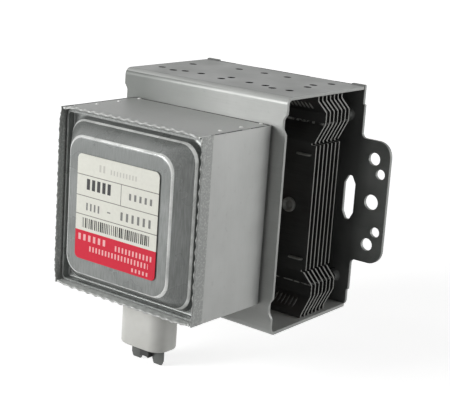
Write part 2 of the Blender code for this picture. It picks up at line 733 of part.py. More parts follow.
def make_cathode():
    filament_half = VANE_HEIGHT / 2
    hat_start = filament_half + CLEARANCE
    hub_end = hat_start + END_HAT_HUB_HEIGHT
    hat_end = hub_end + END_HAT_THICKNESS
    lead_hole = LEAD_DIAMETER / 2 + CLEARANCE
    count = FILAMENT_TURNS * FILAMENT_POINTS
    coil_half = filament_half - FILAMENT_WIRE / 2
    coil = []
    for step in range(count + 1):
        angle = 2 * math.pi * step / FILAMENT_POINTS
        coil.append((
            FILAMENT_RADIUS * math.cos(angle),
            ANODE_CENTRE_Y - coil_half + 2 * coil_half * step / count,
            FILAMENT_RADIUS * math.sin(angle),
        ))
    wire("cathode_filament", coil, FILAMENT_WIRE, "tungsten")

    hub_face = ANODE_CENTRE_Y + hat_start
    hat_output = [
        (END_HAT_HUB_RADIUS, hub_face),
        (END_HAT_HUB_RADIUS, hub_face + END_HAT_HUB_HEIGHT),
        (END_HAT_RADIUS, hub_face + END_HAT_HUB_HEIGHT),
        (END_HAT_RADIUS, ANODE_CENTRE_Y + hat_end),
        (lead_hole, ANODE_CENTRE_Y + hat_end),
        (lead_hole, hub_face),
    ]
    turned("end_hat_output", hat_output, "tungsten", STEPS_SMALL)
    hat_input = [(radius, 2 * ANODE_CENTRE_Y - y) for radius, y in hat_output]
    turned("end_hat_input", hat_input, "tungsten", STEPS_SMALL)

    jog_end = STEM_INNER_Y + LEAD_DIAMETER
    jog_start = jog_end + LEAD_JOG
    pin_tip = STEM_OUTER_Y - STEM_PIN_REACH
    centre_path = [
        (0.0, ANODE_CENTRE_Y + hat_end, 0.0),
        (0.0, jog_start, 0.0),
        (-LEAD_SPREAD, jog_end, 0.0),
        (-LEAD_SPREAD, pin_tip, 0.0),
    ]
    wire("cathode_centre_lead", centre_path, LEAD_DIAMETER, "tungsten")
    side_path = [
        (LEAD_OFFSET, ANODE_CENTRE_Y - hat_end - CLEARANCE, 0.0),
        (LEAD_OFFSET, jog_start, 0.0),
        (LEAD_SPREAD, jog_end, 0.0),
        (LEAD_SPREAD, pin_tip, 0.0),
    ]
    wire("cathode_side_lead", side_path, LEAD_DIAMETER, "tungsten")

    middle = (jog_start + ANODE_INPUT_Y) / 2
    holes = [circle((x, 0.0), lead_hole, STEPS_WIRE_HOLE) for x in (0.0, LEAD_OFFSET)]
    spacer = [circle((0.0, 0.0), SPACER_RADIUS, STEPS_SMALL)] + holes
    half = SPACER_THICKNESS / 2
    plate("lead_spacer", spacer, (middle - half, middle + half), "ceramic")


def make_stem():
    pin_hole = LEAD_DIAMETER / 2 + CLEARANCE
    places = (("left", -1), ("right", 1))
    holes = [circle((side * LEAD_SPREAD, 0.0), pin_hole, STEPS_WIRE_HOLE) for _, side in places]
    body = [circle((0.0, 0.0), SLEEVE_RADIUS, STEPS_MEDIUM)] + holes
    plate("stem_ceramic", body, (STEM_OUTER_Y, STEM_INNER_Y - CLEARANCE), "ceramic")
    lug_face = STEM_OUTER_Y - CLEARANCE
    low = STEM_LUG_WIDTH / 2
    for side_name, side in places:
        centre = side * LEAD_SPREAD
        inner = side * CLEARANCE
        outer = side * STEM_LUG_LENGTH
        corners = [
            (inner, -low, 0.0),
            (outer, -low, low / 2),
            (outer, low, low / 2),
            (inner, low, 0.0),
        ]
        loops = [rounded(corners, 2), circle((centre, 0.0), pin_hole, STEPS_WIRE_HOLE)]
        faces = (lug_face - STEM_LUG_THICKNESS, lug_face)
        plate("stem_lug_" + side_name, loops, faces, "zinc_steel")


def make_antenna():
    pole_outer = ANODE_OUTPUT_Y - POLE_FACE_DEPTH
    vane_face = ANODE_CENTRE_Y + VANE_HEIGHT / 2
    ceramic_start = SLEEVE_OUTPUT_REACH + CLEARANCE
    ceramic_end = ceramic_start + ANTENNA_CERAMIC_LENGTH
    exhaust_start = ceramic_end + CLEARANCE
    exhaust_end = exhaust_start + EXHAUST_FLANGE + EXHAUST_LENGTH
    straight = ANTENNA_LEAD_DIAMETER
    narrow = SLEEVE_RADIUS - SLEEVE_WALL - ANTENNA_LEAD_DIAMETER - CLEARANCE
    lead_points = [
        (ANTENNA_LEAD_START, vane_face + CLEARANCE, 0.0),
        (ANTENNA_LEAD_START, vane_face + straight, 0.0),
        (narrow, pole_outer - CLEARANCE, 0.0),
        (narrow, ANODE_OUTPUT_Y + straight, 0.0),
        (0.0, PLATE_INNER_Y, 0.0),
        (0.0, exhaust_end - EXHAUST_WALL, 0.0),
    ]
    wire("antenna_lead", lead_points, ANTENNA_LEAD_DIAMETER, "copper")
    path_low = (ANTENNA_LEAD_START, vane_face, 0.0)
    bore_points = [path_low] + lead_points[1:4]
    tool = wire("antenna_lead_bore", bore_points, ANTENNA_LEAD_DIAMETER + 4 * CLEARANCE)
    carve(bpy.data.objects["pole_piece_output"], tool)

    bore = ANTENNA_CERAMIC_RADIUS - ANTENNA_CERAMIC_WALL
    ceramic = [
        (ANTENNA_CERAMIC_RADIUS, ceramic_end),
        (ANTENNA_CERAMIC_RADIUS, ceramic_start),
        (bore, ceramic_start),
        (bore, ceramic_end),
    ]
    turned("antenna_ceramic", ceramic, "ceramic")

    lead_room = ANTENNA_LEAD_DIAMETER / 2 + CLEARANCE
    flange_end = exhaust_start + EXHAUST_FLANGE
    exhaust = [
        (lead_room, exhaust_end),
        (EXHAUST_RADIUS - EXHAUST_WALL, exhaust_end),
        (EXHAUST_RADIUS, exhaust_end - EXHAUST_WALL),
        (EXHAUST_RADIUS, flange_end),
        (ANTENNA_CERAMIC_RADIUS, flange_end),
        (ANTENNA_CERAMIC_RADIUS, exhaust_start),
        (lead_room, exhaust_start),
    ]
    turned("exhaust_tube", exhaust, "copper", STEPS_SMALL)

    cap_bore = ANTENNA_CERAMIC_RADIUS + CLEARANCE
    cap_radius = cap_bore + CAP_WALL
    skirt_end = ceramic_end - CAP_SKIRT
    inner_end = exhaust_end + CLEARANCE
    cap_end = inner_end + CAP_WALL
    cap = [
        (0.0, cap_end),
        (cap_radius - CAP_ROUNDING, cap_end),
        (cap_radius - CAP_ROUNDING_INSET, cap_end - CAP_ROUNDING_INSET),
        (cap_radius, cap_end - CAP_ROUNDING),
        (cap_radius, skirt_end),
        (cap_bore, skirt_end),
        (cap_bore, inner_end - CAP_ROUNDING),
        (cap_bore - CAP_ROUNDING, inner_end),
        (0.0, inner_end),
    ]
    turned("antenna_cap", cap, "zinc_steel")


def make_gasket():
    bore = SLEEVE_RADIUS + CLEARANCE
    outer = bore + GASKET_WIDTH
    low = CLEARANCE
    high = low + GASKET_HEIGHT
    gasket = [
        (bore + GASKET_ROUNDING, high),
        (outer - GASKET_ROUNDING, high),
        (outer, high - GASKET_ROUNDING),
        (outer, low),
        (bore, low),
        (bore, high - GASKET_ROUNDING),
    ]
    turned("rf_gasket", gasket, "brass_mesh", STEPS_LARGE)
    seat_bore = outer + CLEARANCE
    seat = [
        (seat_bore + SEAT_WALL, low + SEAT_HEIGHT),
        (seat_bore + SEAT_WALL, low),
        (seat_bore, low),
        (seat_bore, low + SEAT_HEIGHT),
    ]
    turned("gasket_seat", seat, "zinc_steel", STEPS_LARGE)


def fin_path():
    """Side view of a fin from its lower tip to its upper tip, as (y, z) points."""
    heights = [FIN_WING_START, FIN_RISE_HEIGHT, FIN_CREST, FIN_RETURN_HEIGHT, FIN_TIP]
    offsets = [0.0, FIN_RISE, FIN_RISE, FIN_RISE - FIN_RETURN, FIN_RISE - FIN_RETURN]
    level = 0.0
    upper = []
    for height, offset in zip(heights, offsets):
        level += height
        upper.append((offset, level))
    corners = [(y, -z) for y, z in reversed(upper)] + upper
    return bent(corners, FIN_BEND_RADIUS, 1)


def fin_silhouette():
    """Front view of a fin: slits part the wide middle from the wings."""
    half = FIN_HALF_WIDTH
    wing = FIN_HALF_WIDTH - FIN_WING_INSET
    slit_end = half - FIN_SLIT_DEPTH
    beyond = FIN_HALF_HEIGHT + FIN_SHEET
    right = [
        (half, FIN_MIDDLE_HALF),
        (slit_end, FIN_MIDDLE_HALF),
        (slit_end, FIN_WING_START),
        (wing, FIN_WING_START),
        (wing, beyond),
    ]
    upper = right + [(-x, z) for x, z in reversed(right)]
    return upper + [(-x, -z) for x, z in upper]


def make_fin_mesh():
    """One fin with its middle in the XZ plane; every fin shares this mesh."""
    deepest = FIN_RISE + FIN_SHEET
    hole = FIN_HOLE_RADIUS
    reach = FIN_PITCH - FIN_SHEET - CLEARANCE
    front = -FIN_SHEET / 2
    fin = bent_strip("fin_sheet", fin_path(), 2 * FIN_HALF_WIDTH + FIN_SHEET, FIN_SHEET)
    fin.modifiers["sheet"].offset = 0.0
    silhouette = plate("fin_silhouette", [fin_silhouette()], (-deepest, deepest))
    carve(fin, silhouette, "INTERSECT")
    collar_outer = hole + FIN_COLLAR_WALL
    collar_range = (front - reach, 0.0)
    collar = cone("fin_collar", (0, 0), (collar_outer, collar_outer), collar_range, steps=STEPS_LARGE)
    carve(fin, collar, "UNION")
    boss_radii = (FIN_BOSS_RADIUS - FIN_BOSS_HEIGHT, FIN_BOSS_RADIUS)
    boss_range = (front - FIN_BOSS_HEIGHT, 0.0)
    for side in (-1, 1):
        centre = (side * FIN_BOSS_X, 0.0)
        carve(fin, cone("fin_boss", centre, boss_radii, boss_range, steps=STEPS_WIRE_HOLE), "UNION")
        tab_start = side * FIN_TAB_X - FIN_TAB_WIDTH / 2
        tab_end = tab_start + FIN_TAB_WIDTH
        for level in (-1, 1):
            low = (tab_start, front - reach, level * FIN_TAB_Z)
            high = (tab_end, 0.0, level * FIN_TAB_Z + FIN_SHEET)
            carve(fin, box("fin_tab", low, high), "UNION")
    bore = cone("fin_bore", (0, 0), (hole, hole), (-deepest, deepest), steps=STEPS_LARGE)
    carve(fin, bore)
    bpy.context.view_layer.update()
    mesh = evaluated_mesh(fin)
    weld(mesh)
    mesh.name = "cooling_fin"
    mesh.materials.clear()
    return mesh


def make_fins():
    mesh = make_fin_mesh()
    last_y = ANODE_OUTPUT_Y - FIN_END_MARGIN
    for index in range(FIN_COUNT):
        copy = mesh if index == 0 else mesh.copy()
        fin = bpy.data.objects.new("cooling_fin_" + str(index + 1), copy)
        fin.location = (0.0, last_y - (FIN_COUNT - 1 - index) * FIN_PITCH, 0.0)
        place(fin, "aluminium")


def make_yoke():
    tip = -CLEARANCE
    shoulder = PLATE_INNER_Y - CLEARANCE
    corners = [
        (tip, -YOKE_HALF_HEIGHT),
        (YOKE_FRONT_Y, -YOKE_HALF_HEIGHT),
        (YOKE_FRONT_Y, YOKE_HALF_HEIGHT),
        (tip, YOKE_HALF_HEIGHT),
    ]
    path = bent(corners, YOKE_BEND_RADIUS, ARC_STEPS)
    yoke = bent_strip("yoke_bracket", path, YOKE_WIDTH, YOKE_SHEET, "zinc_steel")
    half = YOKE_HALF_WIDTH
    beyond = YOKE_HALF_HEIGHT + YOKE_SHEET
    tenon = TENON_WIDTH / 2
    gaps = (
        (-half - tenon, -TENON_SPREAD - tenon),
        (-TENON_SPREAD + tenon, TENON_SPREAD - tenon),
        (TENON_SPREAD + tenon, half + tenon),
    )
    for start, end in gaps:
        tool = box("yoke_tenon_gap", (start, shoulder, -beyond), (end, YOKE_SHEET, beyond))
        carve(yoke, tool)
    hole = SLEEVE_RADIUS + SLEEVE_HOLE_MARGIN
    through = (YOKE_FRONT_Y - YOKE_SHEET, YOKE_INNER_Y + YOKE_SHEET)
    tool = cone("yoke_input_hole", (0, 0), (hole, hole), through, steps=STEPS_MEDIUM)
    carve(yoke, tool)
    long_half = YOKE_NOTCH_LENGTH / 2
    short_half = long_half - YOKE_NOTCH_SLOPE
    depth = YOKE_NOTCH_DEPTH
    loops = []
    for side in (-1, 1):
        for level in (-1, 1):
            centre = level * YOKE_NOTCH_HEIGHT
            loops.append([
                (side * (half + depth), centre - long_half - YOKE_NOTCH_SLOPE),
                (side * (half + depth), centre + long_half + YOKE_NOTCH_SLOPE),
                (side * (half - depth), centre + short_half),
                (side * (half - depth), centre - short_half),
            ])
    carve(yoke, plate("yoke_side_notches", loops, through))


def slot_outline(centre):
    half = SLOT_LENGTH / 2
    wide = SLOT_WIDTH / 2
    narrow = SLOT_END_WIDTH / 2
    shoulder = half - SLOT_END_TAPER
    right = [(narrow, -half), (wide, -shoulder), (wide, shoulder), (narrow, half)]
    return [(centre + x, z) for x, z in right] + [(centre - x, z) for x, z in reversed(right)]


def make_mounting_plate():
    """The right half with its holes and dimples, then mirrored at X = 0."""
    top = YOKE_HALF_HEIGHT
    floor = YOKE_INNER_HALF - CLEARANCE
    narrow = PLATE_HALF_WIDTH - PLATE_SIDE_STEP
    inner = TENON_SPREAD - TENON_WIDTH / 2 - CLEARANCE
    outer = TENON_SPREAD + TENON_WIDTH / 2 + CLEARANCE
    ear = EAR_HEIGHT / 2
    lip = top + PLATE_LIP_RISE
    centre_hole = SLEEVE_RADIUS + SLEEVE_HOLE_MARGIN
    past_middle = -centre_hole - PLATE_SHEET
    notch = [(inner, top), (inner, floor), (outer, floor), (outer, top)]
    corners = [(past_middle, -top, 0.0)] + [(x, -z, 0.0) for x, z in notch]
    corners += [
        (narrow, -top, PLATE_CORNER_RADIUS),
        (narrow, -PLATE_SHOULDER, 0.0),
        (PLATE_HALF_WIDTH, -PLATE_SHOULDER, 0.0),
        (PLATE_HALF_WIDTH, -ear, EAR_FILLET_RADIUS),
        (EAR_HALF_WIDTH, -ear, EAR_CORNER_RADIUS),
        (EAR_HALF_WIDTH, ear, EAR_CORNER_RADIUS),
        (PLATE_HALF_WIDTH, ear, EAR_FILLET_RADIUS),
        (PLATE_HALF_WIDTH, PLATE_SHOULDER, 0.0),
        (narrow, PLATE_SHOULDER, 0.0),
        (narrow, lip, PLATE_LIP_RISE),
        (narrow - PLATE_LIP_WIDTH, lip, PLATE_LIP_RISE),
        (narrow - PLATE_LIP_WIDTH, top, 0.0),
    ]
    corners += [(x, z, 0.0) for x, z in reversed(notch)] + [(past_middle, top, 0.0)]
    holes = [
        circle((0.0, 0.0), centre_hole, STEPS_MEDIUM),
        slot_outline(SLOT_X),
        circle((EAR_CENTRE_X, 0.0), EAR_CENTRE_DIAMETER / 2, STEPS_SMALL),
    ]
    for level in (-1, 1):
        main = (EAR_HOLE_X, level * EAR_HOLE_HEIGHT)
        pilot = (EAR_PILOT_X, level * EAR_PILOT_HEIGHT)
        holes.append(circle(main, EAR_HOLE_DIAMETER / 2, STEPS_SMALL))
        holes.append(circle(pilot, EAR_PILOT_DIAMETER / 2, STEPS_SMALL))
    body = plate("mounting_plate", [rounded(corners)] + holes, (PLATE_INNER_Y, 0.0), "dark_steel")
    middle = PLATE_INNER_Y / 2
    top_radius = DIMPLE_RADIUS - DIMPLE_RISE * DIMPLE_SLOPE
    for level in (-1, 1):
        centre = (DIMPLE_X, level * DIMPLE_HEIGHT)
        rise = (PLATE_INNER_Y - DIMPLE_RISE, middle)
        radii = (top_radius, DIMPLE_RADIUS)
        carve(body, cone("plate_dimple", centre, radii, rise, steps=STEPS_SMALL), "UNION")
        hollow = (-DIMPLE_RISE, PLATE_SHEET)
        radii = (top_radius - PLATE_SHEET / 2, DIMPLE_RADIUS)
        carve(body, cone("plate_dimple_hollow", centre, radii, hollow, steps=STEPS_SMALL))
    mirror = body.modifiers.new("both_sides", "MIRROR")
    mirror.use_axis[0] = True
    mirror.use_bisect_axis[0] = True
    mirror.merge_threshold = WELD_DISTANCE


def make_filter_box():
    half = BOX_WIDTH / 2
    top = BOX_HEIGHT / 2
    radius = BOX_CORNER_RADIUS
    inner = half - BOX_SHEET
    inner_radius = max(radius - BOX_SHEET, CLEARANCE)
    shell = rounded([
        (-half, BOX_LIP_Y, 0.0),
        (half, BOX_LIP_Y, 0.0),
        (half, BOX_BACK_Y, radius),
        (-half, BOX_BACK_Y, radius),
    ])
    cavity = rounded([
        (-inner, BOX_LIP_Y - BOX_SHEET, 0.0),
        (inner, BOX_LIP_Y - BOX_SHEET, 0.0),
        (inner, BOX_BACK_Y - BOX_SHEET, inner_radius),
        (-inner, BOX_BACK_Y - BOX_SHEET, inner_radius),
    ])
    case = column("filter_box", [shell], (0.0, 0.0), (-top, top), "zinc_steel")
    tool = column("filter_box_cavity", [cavity], (0.0, 0.0), (BOX_SHEET - top, top - BOX_SHEET))
    carve(case, tool)
    hole = SLEEVE_RADIUS + SLEEVE_HOLE_MARGIN
    through = (BOX_BACK_Y - 2 * BOX_SHEET, BOX_BACK_Y + BOX_SHEET)
    carve(case, cone("filter_box_stem_hole", (0, 0), (hole, hole), through, steps=STEPS_MEDIUM))
    opening = rounded_box(
        SHROUD_HALF_WIDTH + CLEARANCE,
        SHROUD_HALF_DEPTH + CLEARANCE,
        SHROUD_CORNER_RADIUS + CLEARANCE,
    )
    low = (-top - BOX_SHEET, 2 * BOX_SHEET - top)
    carve(case, column("filter_box_connector_hole", [opening], (0.0, CONNECTOR_Y), low))


def make_filter_cover():
    """Rings that step in from the rim: gutter, low wall, slope and flat panel."""
    half_width = BOX_WIDTH / 2 - BOX_SHEET - CLEARANCE - COVER_SHEET
    half_height = BOX_HEIGHT / 2 - BOX_SHEET - CLEARANCE - COVER_SHEET
    gutter = COVER_GUTTER_WIDTH
    wall = gutter + COVER_WALL_RUN
    wall_y = COVER_GUTTER_Y - COVER_WALL_RISE
    side = wall + COVER_SIDE_SLOPE_RUN
    end = wall + COVER_END_SLOPE_RUN
    corner = COVER_PANEL_RADIUS
    section = [
        (0.0, 0.0, BOX_LIP_Y, COVER_RIM_RADIUS),
        (0.0, 0.0, COVER_GUTTER_Y, COVER_RIM_RADIUS),
        (gutter, gutter, COVER_GUTTER_Y, corner),
        (wall, wall, wall_y, corner),
        (side, end, COVER_PANEL_Y, corner),
        (side + corner, end + corner, COVER_PANEL_Y, corner),
    ]
    rings = []
    for across, up, y, radius in bent(section, COVER_EDGE_RADIUS, COVER_EDGE_STEPS)[:-1]:
        outline = rounded_box(half_width - across, half_height - up, radius)
        rings.append([(x, y, z) for x, z in outline])
    lofted_sheet("filter_cover", rings, COVER_SHEET, "brushed_steel")


def make_label():
    outline = rounded_box(LABEL_WIDTH / 2, LABEL_HEIGHT / 2, LABEL_CORNER_RADIUS)
    face = COVER_PANEL_Y - CLEARANCE
    plate("data_label", [outline], (face - LABEL_THICKNESS, face), "paper")


def terminal_slots():
    """Two slots that the terminals pass through with a clearance all round."""
    half_width = TERMINAL_WIDTH / 2 + CLEARANCE
    half_sheet = TERMINAL_SHEET / 2 + CLEARANCE
    loops = []
    for side in (-1, 1):
        low = side * TERMINAL_PITCH / 2 - half_width
        high = side * TERMINAL_PITCH / 2 + half_width
        loops.append([
            (low, -half_sheet),
            (high, -half_sheet),
            (high, half_sheet),
            (low, half_sheet),
        ])
    return loops


def make_connector():
    centre = (0.0, CONNECTOR_Y)
    wall_outer = -BOX_HEIGHT / 2
    wall_inner = wall_outer + BOX_SHEET
    rim = wall_outer - SHROUD_DROP
    floor = wall_outer - SHROUD_FLOOR
    half_width = SHROUD_HALF_WIDTH
    half_depth = SHROUD_HALF_DEPTH

    outer = rounded_box(half_width, half_depth, SHROUD_CORNER_RADIUS)
    inner = rounded_box(
        half_width - SHROUD_WALL,
        half_depth - SHROUD_WALL,
        SHROUD_CORNER_RADIUS - SHROUD_WALL,
    )
    slots = terminal_slots()
    through_wall = (rim, wall_inner)
    shroud = column("connector_shroud", [outer], centre, through_wall, "off_white_plastic")
    carve(shroud, column("shroud_socket", [inner], centre, (rim - SHROUD_WALL, floor)))
    slot_range = (floor - SHROUD_WALL, wall_inner + SHROUD_WALL)
    carve(shroud, column("shroud_slots", slots, centre, slot_range))

    flange_low = wall_inner + CLEARANCE
    flange_high = flange_low + CAPACITOR_FLANGE_SHEET
    flange = rounded_box(
        half_width + CAPACITOR_FLANGE_MARGIN,
        FLANGE_HALF_DEPTH,
        CAPACITOR_FLANGE_MARGIN,
    )
    column("capacitor_flange", [flange] + slots, centre, (flange_low, flange_high), "zinc_steel")

    body_low = flange_high + CLEARANCE
    body_high = body_low + CAPACITOR_HEIGHT
    body = rounded_box(CAPACITOR_WIDTH / 2, CAPACITOR_THICKNESS / 2, CAPACITOR_CORNER_RADIUS)
    column("capacitor_body", [body] + slots, centre, (body_low, body_high), "epoxy")

    half_blade = TERMINAL_WIDTH / 2
    half_tip = half_blade - TERMINAL_TIP_INSET
    tip = rim - TERMINAL_REACH
    shoulder = tip + TERMINAL_TIP_LENGTH
    blade = [
        (half_tip, tip),
        (half_blade, shoulder),
        (half_blade, TERMINAL_TOP_Z),
        (-half_blade, TERMINAL_TOP_Z),
        (-half_blade, shoulder),
        (-half_tip, tip),
    ]
    sheet = (CONNECTOR_Y - TERMINAL_SHEET / 2, CONNECTOR_Y + TERMINAL_SHEET / 2)
    for name, side in (("terminal_left", -1), ("terminal_right", 1)):
        outline = [(x + side * TERMINAL_PITCH / 2, z) for x, z in blade]
        plate(name, [outline], sheet, "zinc_steel")

    half_gap = (TERMINAL_PITCH - TERMINAL_WIDTH) / 2 - CLEARANCE
    foot = rim - INSULATOR_REACH
    barrier = [
        (-half_gap, floor - CLEARANCE),
        (-half_gap, foot),
        (-half_gap / 2, foot + INSULATOR_ARCH),
        (half_gap / 2, foot + INSULATOR_ARCH),
        (half_gap, foot),
        (half_gap, floor - CLEARANCE),
    ]
    thick = (CONNECTOR_Y - INSULATOR_THICKNESS / 2, CONNECTOR_Y + INSULATOR_THICKNESS / 2)
    plate("terminal_insulator", [barrier], thick, "dark_plastic")


def make_chokes():
    lug_y = STEM_OUTER_Y - 2 * CLEARANCE - STEM_LUG_THICKNESS
    start_x = STEM_LUG_LENGTH - CHOKE_WIRE
    top = -CHOKE_TAIL
    bottom = TERMINAL_TOP_Z + CLEARANCE + CHOKE_TAIL
    count = round(CHOKE_TURNS * CHOKE_POINTS)
    for name, side in (("left", -1), ("right", 1)):
        points = [(start_x, lug_y, 0.0), (start_x, lug_y - CHOKE_WIRE, -CHOKE_START_DROP)]
        for step in range(count + 1):
            part = step / count
            angle = math.pi / 2 + 2 * math.pi * CHOKE_TURNS * part
            points.append((
                CHOKE_SPREAD + CHOKE_RADIUS * math.cos(angle),
                CHOKE_Y + CHOKE_RADIUS * math.sin(angle),
                top + (bottom - top) * part,
            ))
        points.append((TERMINAL_PITCH / 2, CONNECTOR_Y, bottom - CHOKE_TAIL / 2))
        points.append((TERMINAL_PITCH / 2, CONNECTOR_Y, TERMINAL_TOP_Z + CLEARANCE))
        wire("choke_coil_" + name, [(side * x, y, z) for x, y, z in points], CHOKE_WIRE, "copper")
        core = circle((0.0, 0.0), CHOKE_RADIUS - CHOKE_WIRE / 2 - CLEARANCE, STEPS_SMALL)
        ends = (bottom - CHOKE_CORE_OVERHANG, top + CHOKE_CORE_OVERHANG)
        column("choke_core_" + name, [core], (side * CHOKE_SPREAD, CHOKE_Y), ends, "ferrite")


def build():
    make_magnets()
    make_anode()
    make_vanes()
    make_straps()
    make_pole_pieces()
    make_sleeves()
    make_cathode()
    make_stem()
    make_antenna()
    make_gasket()
    make_fins()
    make_yoke()
    make_mounting_plate()
    make_filter_box()
    make_filter_cover()
    make_label()
    make_connector()
    make_chokes()


clear_scene()
MODEL = new_collection("magnetron")
CUTTERS = new_collection("magnetron_cutters")
ROOT = bpy.data.objects.new("magnetron_origin", None)
MODEL.objects.link(ROOT)
build()
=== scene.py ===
import math

import bmesh
import bpy
from mathutils import Matrix, Vector


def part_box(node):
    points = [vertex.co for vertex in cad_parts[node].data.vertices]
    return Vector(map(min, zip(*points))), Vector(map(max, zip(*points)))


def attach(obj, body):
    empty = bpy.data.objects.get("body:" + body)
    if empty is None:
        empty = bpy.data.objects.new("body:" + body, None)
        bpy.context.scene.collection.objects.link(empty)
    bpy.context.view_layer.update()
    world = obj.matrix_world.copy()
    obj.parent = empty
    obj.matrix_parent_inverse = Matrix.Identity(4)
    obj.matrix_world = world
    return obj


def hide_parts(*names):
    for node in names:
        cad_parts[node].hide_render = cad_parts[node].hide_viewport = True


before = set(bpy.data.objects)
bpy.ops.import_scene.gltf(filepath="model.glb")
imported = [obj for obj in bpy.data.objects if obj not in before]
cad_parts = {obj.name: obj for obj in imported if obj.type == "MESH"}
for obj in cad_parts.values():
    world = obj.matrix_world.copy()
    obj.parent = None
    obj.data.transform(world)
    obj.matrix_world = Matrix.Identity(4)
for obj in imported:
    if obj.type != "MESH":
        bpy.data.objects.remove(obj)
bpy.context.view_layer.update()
mm = 0.001
hair = 0.01  # less than any real size, in millimetres
print("frame loaded")


def span(node):
    # a CAD node's lowest and highest corners, in millimetres
    return [[value / mm for value in corner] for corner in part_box(node)]


# paths and outlines, in millimetres

def softPath(corners, steps=5, closed=True):
    # corners are (a, b, radius); every radius above 0 becomes an arc
    path = []
    last = len(corners) - 1
    for index, (a, b, radius) in enumerate(corners):
        if radius <= 0 or (not closed and index in (0, last)):
            path.append((a, b))
            continue
        corner = Vector((a, b))
        before = Vector(corners[index - 1][:2]) - corner
        after = Vector(corners[(index + 1) % len(corners)][:2]) - corner
        halfAngle = before.angle(after) / 2
        # an arc leaves a little of both sides straight
        reach = min(radius / math.tan(halfAngle), 0.48 * min(before.length, after.length))
        size = reach * math.tan(halfAngle)
        towards = (before.normalized() + after.normalized()).normalized()
        centre = corner + towards * size / math.sin(halfAngle)
        start = corner + before.normalized() * reach - centre
        end = corner + after.normalized() * reach - centre
        sweep = math.atan2(start.cross(end), start.dot(end))
        for step in range(steps + 1):
            turn = Matrix.Rotation(sweep * step / steps, 2)
            path.append(tuple(centre + turn @ start))
    return path


def mirrored(corners):
    # the corners on one side, then their mirror image in reverse
    return corners + [(-a, b, radius) for a, b, radius in reversed(corners)]


def roundRect(halfWide, halfHigh, radius, steps=6):
    signs = ((1, -1), (1, 1), (-1, 1), (-1, -1))
    return softPath([(sx * halfWide, sz * halfHigh, radius) for sx, sz in signs], steps)


def ringOutline(x, z, radius, steps):
    turns = [2 * math.pi * step / steps for step in range(steps)]
    return [(x + radius * math.cos(turn), z + radius * math.sin(turn)) for turn in turns]


# forms: bmesh shapes, given in millimetres and kept in metres

def turnedForm(profile, steps):
    # profile is a list of (radius, y); one that starts on the axis also ends there
    onAxis = 1e-6
    form = bmesh.new()
    rings = []
    for radius, y in profile:
        if radius < onAxis:
            rings.append([form.verts.new((0, y * mm, 0))] * steps)
            continue
        circle = ringOutline(0, 0, radius, steps)
        rings.append([form.verts.new((x * mm, y * mm, z * mm)) for x, z in circle])
    pairs = list(zip(rings, rings[1:]))
    if profile[0][0] > onAxis:
        pairs.append((rings[-1], rings[0]))
    for first, second in pairs:
        for index in range(steps):
            beside = (index + 1) % steps
            corners = []
            for corner in (first[index], first[beside], second[beside], second[index]):
                if corner not in corners:
                    corners.append(corner)
            if len(corners) > 2:
                form.faces.new(corners)
    bmesh.ops.recalc_face_normals(form, faces=form.faces)
    return form


def gridForm(rows):
    # an open sheet through rows of points
    form = bmesh.new()
    lines = [[form.verts.new([value * mm for value in point]) for point in row] for row in rows]
    for first, second in zip(lines, lines[1:]):
        for column in range(len(first) - 1):
            beside = column + 1
            form.faces.new((first[column], first[beside], second[beside], second[column]))
    return form


def stripForm(path, halfWide):
    # an open sheet along a (y, z) path, as wide as 2 * halfWide
    return gridForm([[(-halfWide, y, z), (halfWide, y, z)] for y, z in path])


def loftForm(rings, closeStart=False, closeEnd=False):
    form = bmesh.new()
    loops = [[form.verts.new([value * mm for value in point]) for point in ring] for ring in rings]
    for first, second in zip(loops, loops[1:]):
        for index, corner in enumerate(first):
            form.faces.new((first[index - 1], corner, second[index], second[index - 1]))
    if closeStart:
        form.faces.new(loops[0][::-1])
    if closeEnd:
        form.faces.new(loops[-1])
    return form


def joinFlat(form, near):
    # joins points that meet, and faces that lie in one plane
    bmesh.ops.remove_doubles(form, verts=form.verts, dist=near * mm)
    bmesh.ops.dissolve_limit(form, angle_limit=0.002, verts=form.verts, edges=form.edges)


def outlineForm(loops, low, high, upright=False, joined=True, edge=0.0):
    # a flat sheet in the XZ plane between two y, or upright: in the XY plane between two z
    # a sheet that is cut later stays in triangles; edge rounds both rims
    curve = bpy.data.curves.new("outline", "CURVE")
    curve.dimensions = "2D"
    curve.fill_mode = "BOTH"
    curve.extrude = ((high - low) / 2 - edge) * mm
    curve.bevel_depth = edge * mm
    curve.bevel_resolution = 1
    curve.offset = -edge * mm
    for loop in loops:
        spline = curve.splines.new("POLY")
        spline.points.add(len(loop) - 1)
        spline.use_cyclic_u = True
        for point, (a, b) in zip(spline.points, loop):
            point.co = (a * mm, b * mm, 0, 1)
    holder = bpy.data.objects.new("outline", curve)
    bpy.context.scene.collection.objects.link(holder)
    bpy.context.view_layer.update()
    graph = bpy.context.evaluated_depsgraph_get()
    mesh = bpy.data.meshes.new_from_object(holder.evaluated_get(graph))
    bpy.data.objects.remove(holder, do_unlink=True)
    form = bmesh.new()
    form.from_mesh(mesh)
    bpy.data.meshes.remove(mesh)
    middle = (low + high) / 2 * mm
    if upright:
        turn = Matrix.Translation((0, 0, middle))
    else:
        turn = Matrix.Translation((0, middle, 0)) @ Matrix.Rotation(math.pi / 2, 4, "X")
    bmesh.ops.transform(form, matrix=turn, verts=form.verts)
    if joined:
        joinFlat(form, 0.002)
    else:
        bmesh.ops.remove_doubles(form, verts=form.verts, dist=0.002 * mm)
    bmesh.ops.recalc_face_normals(form, faces=form.faces)
    return form


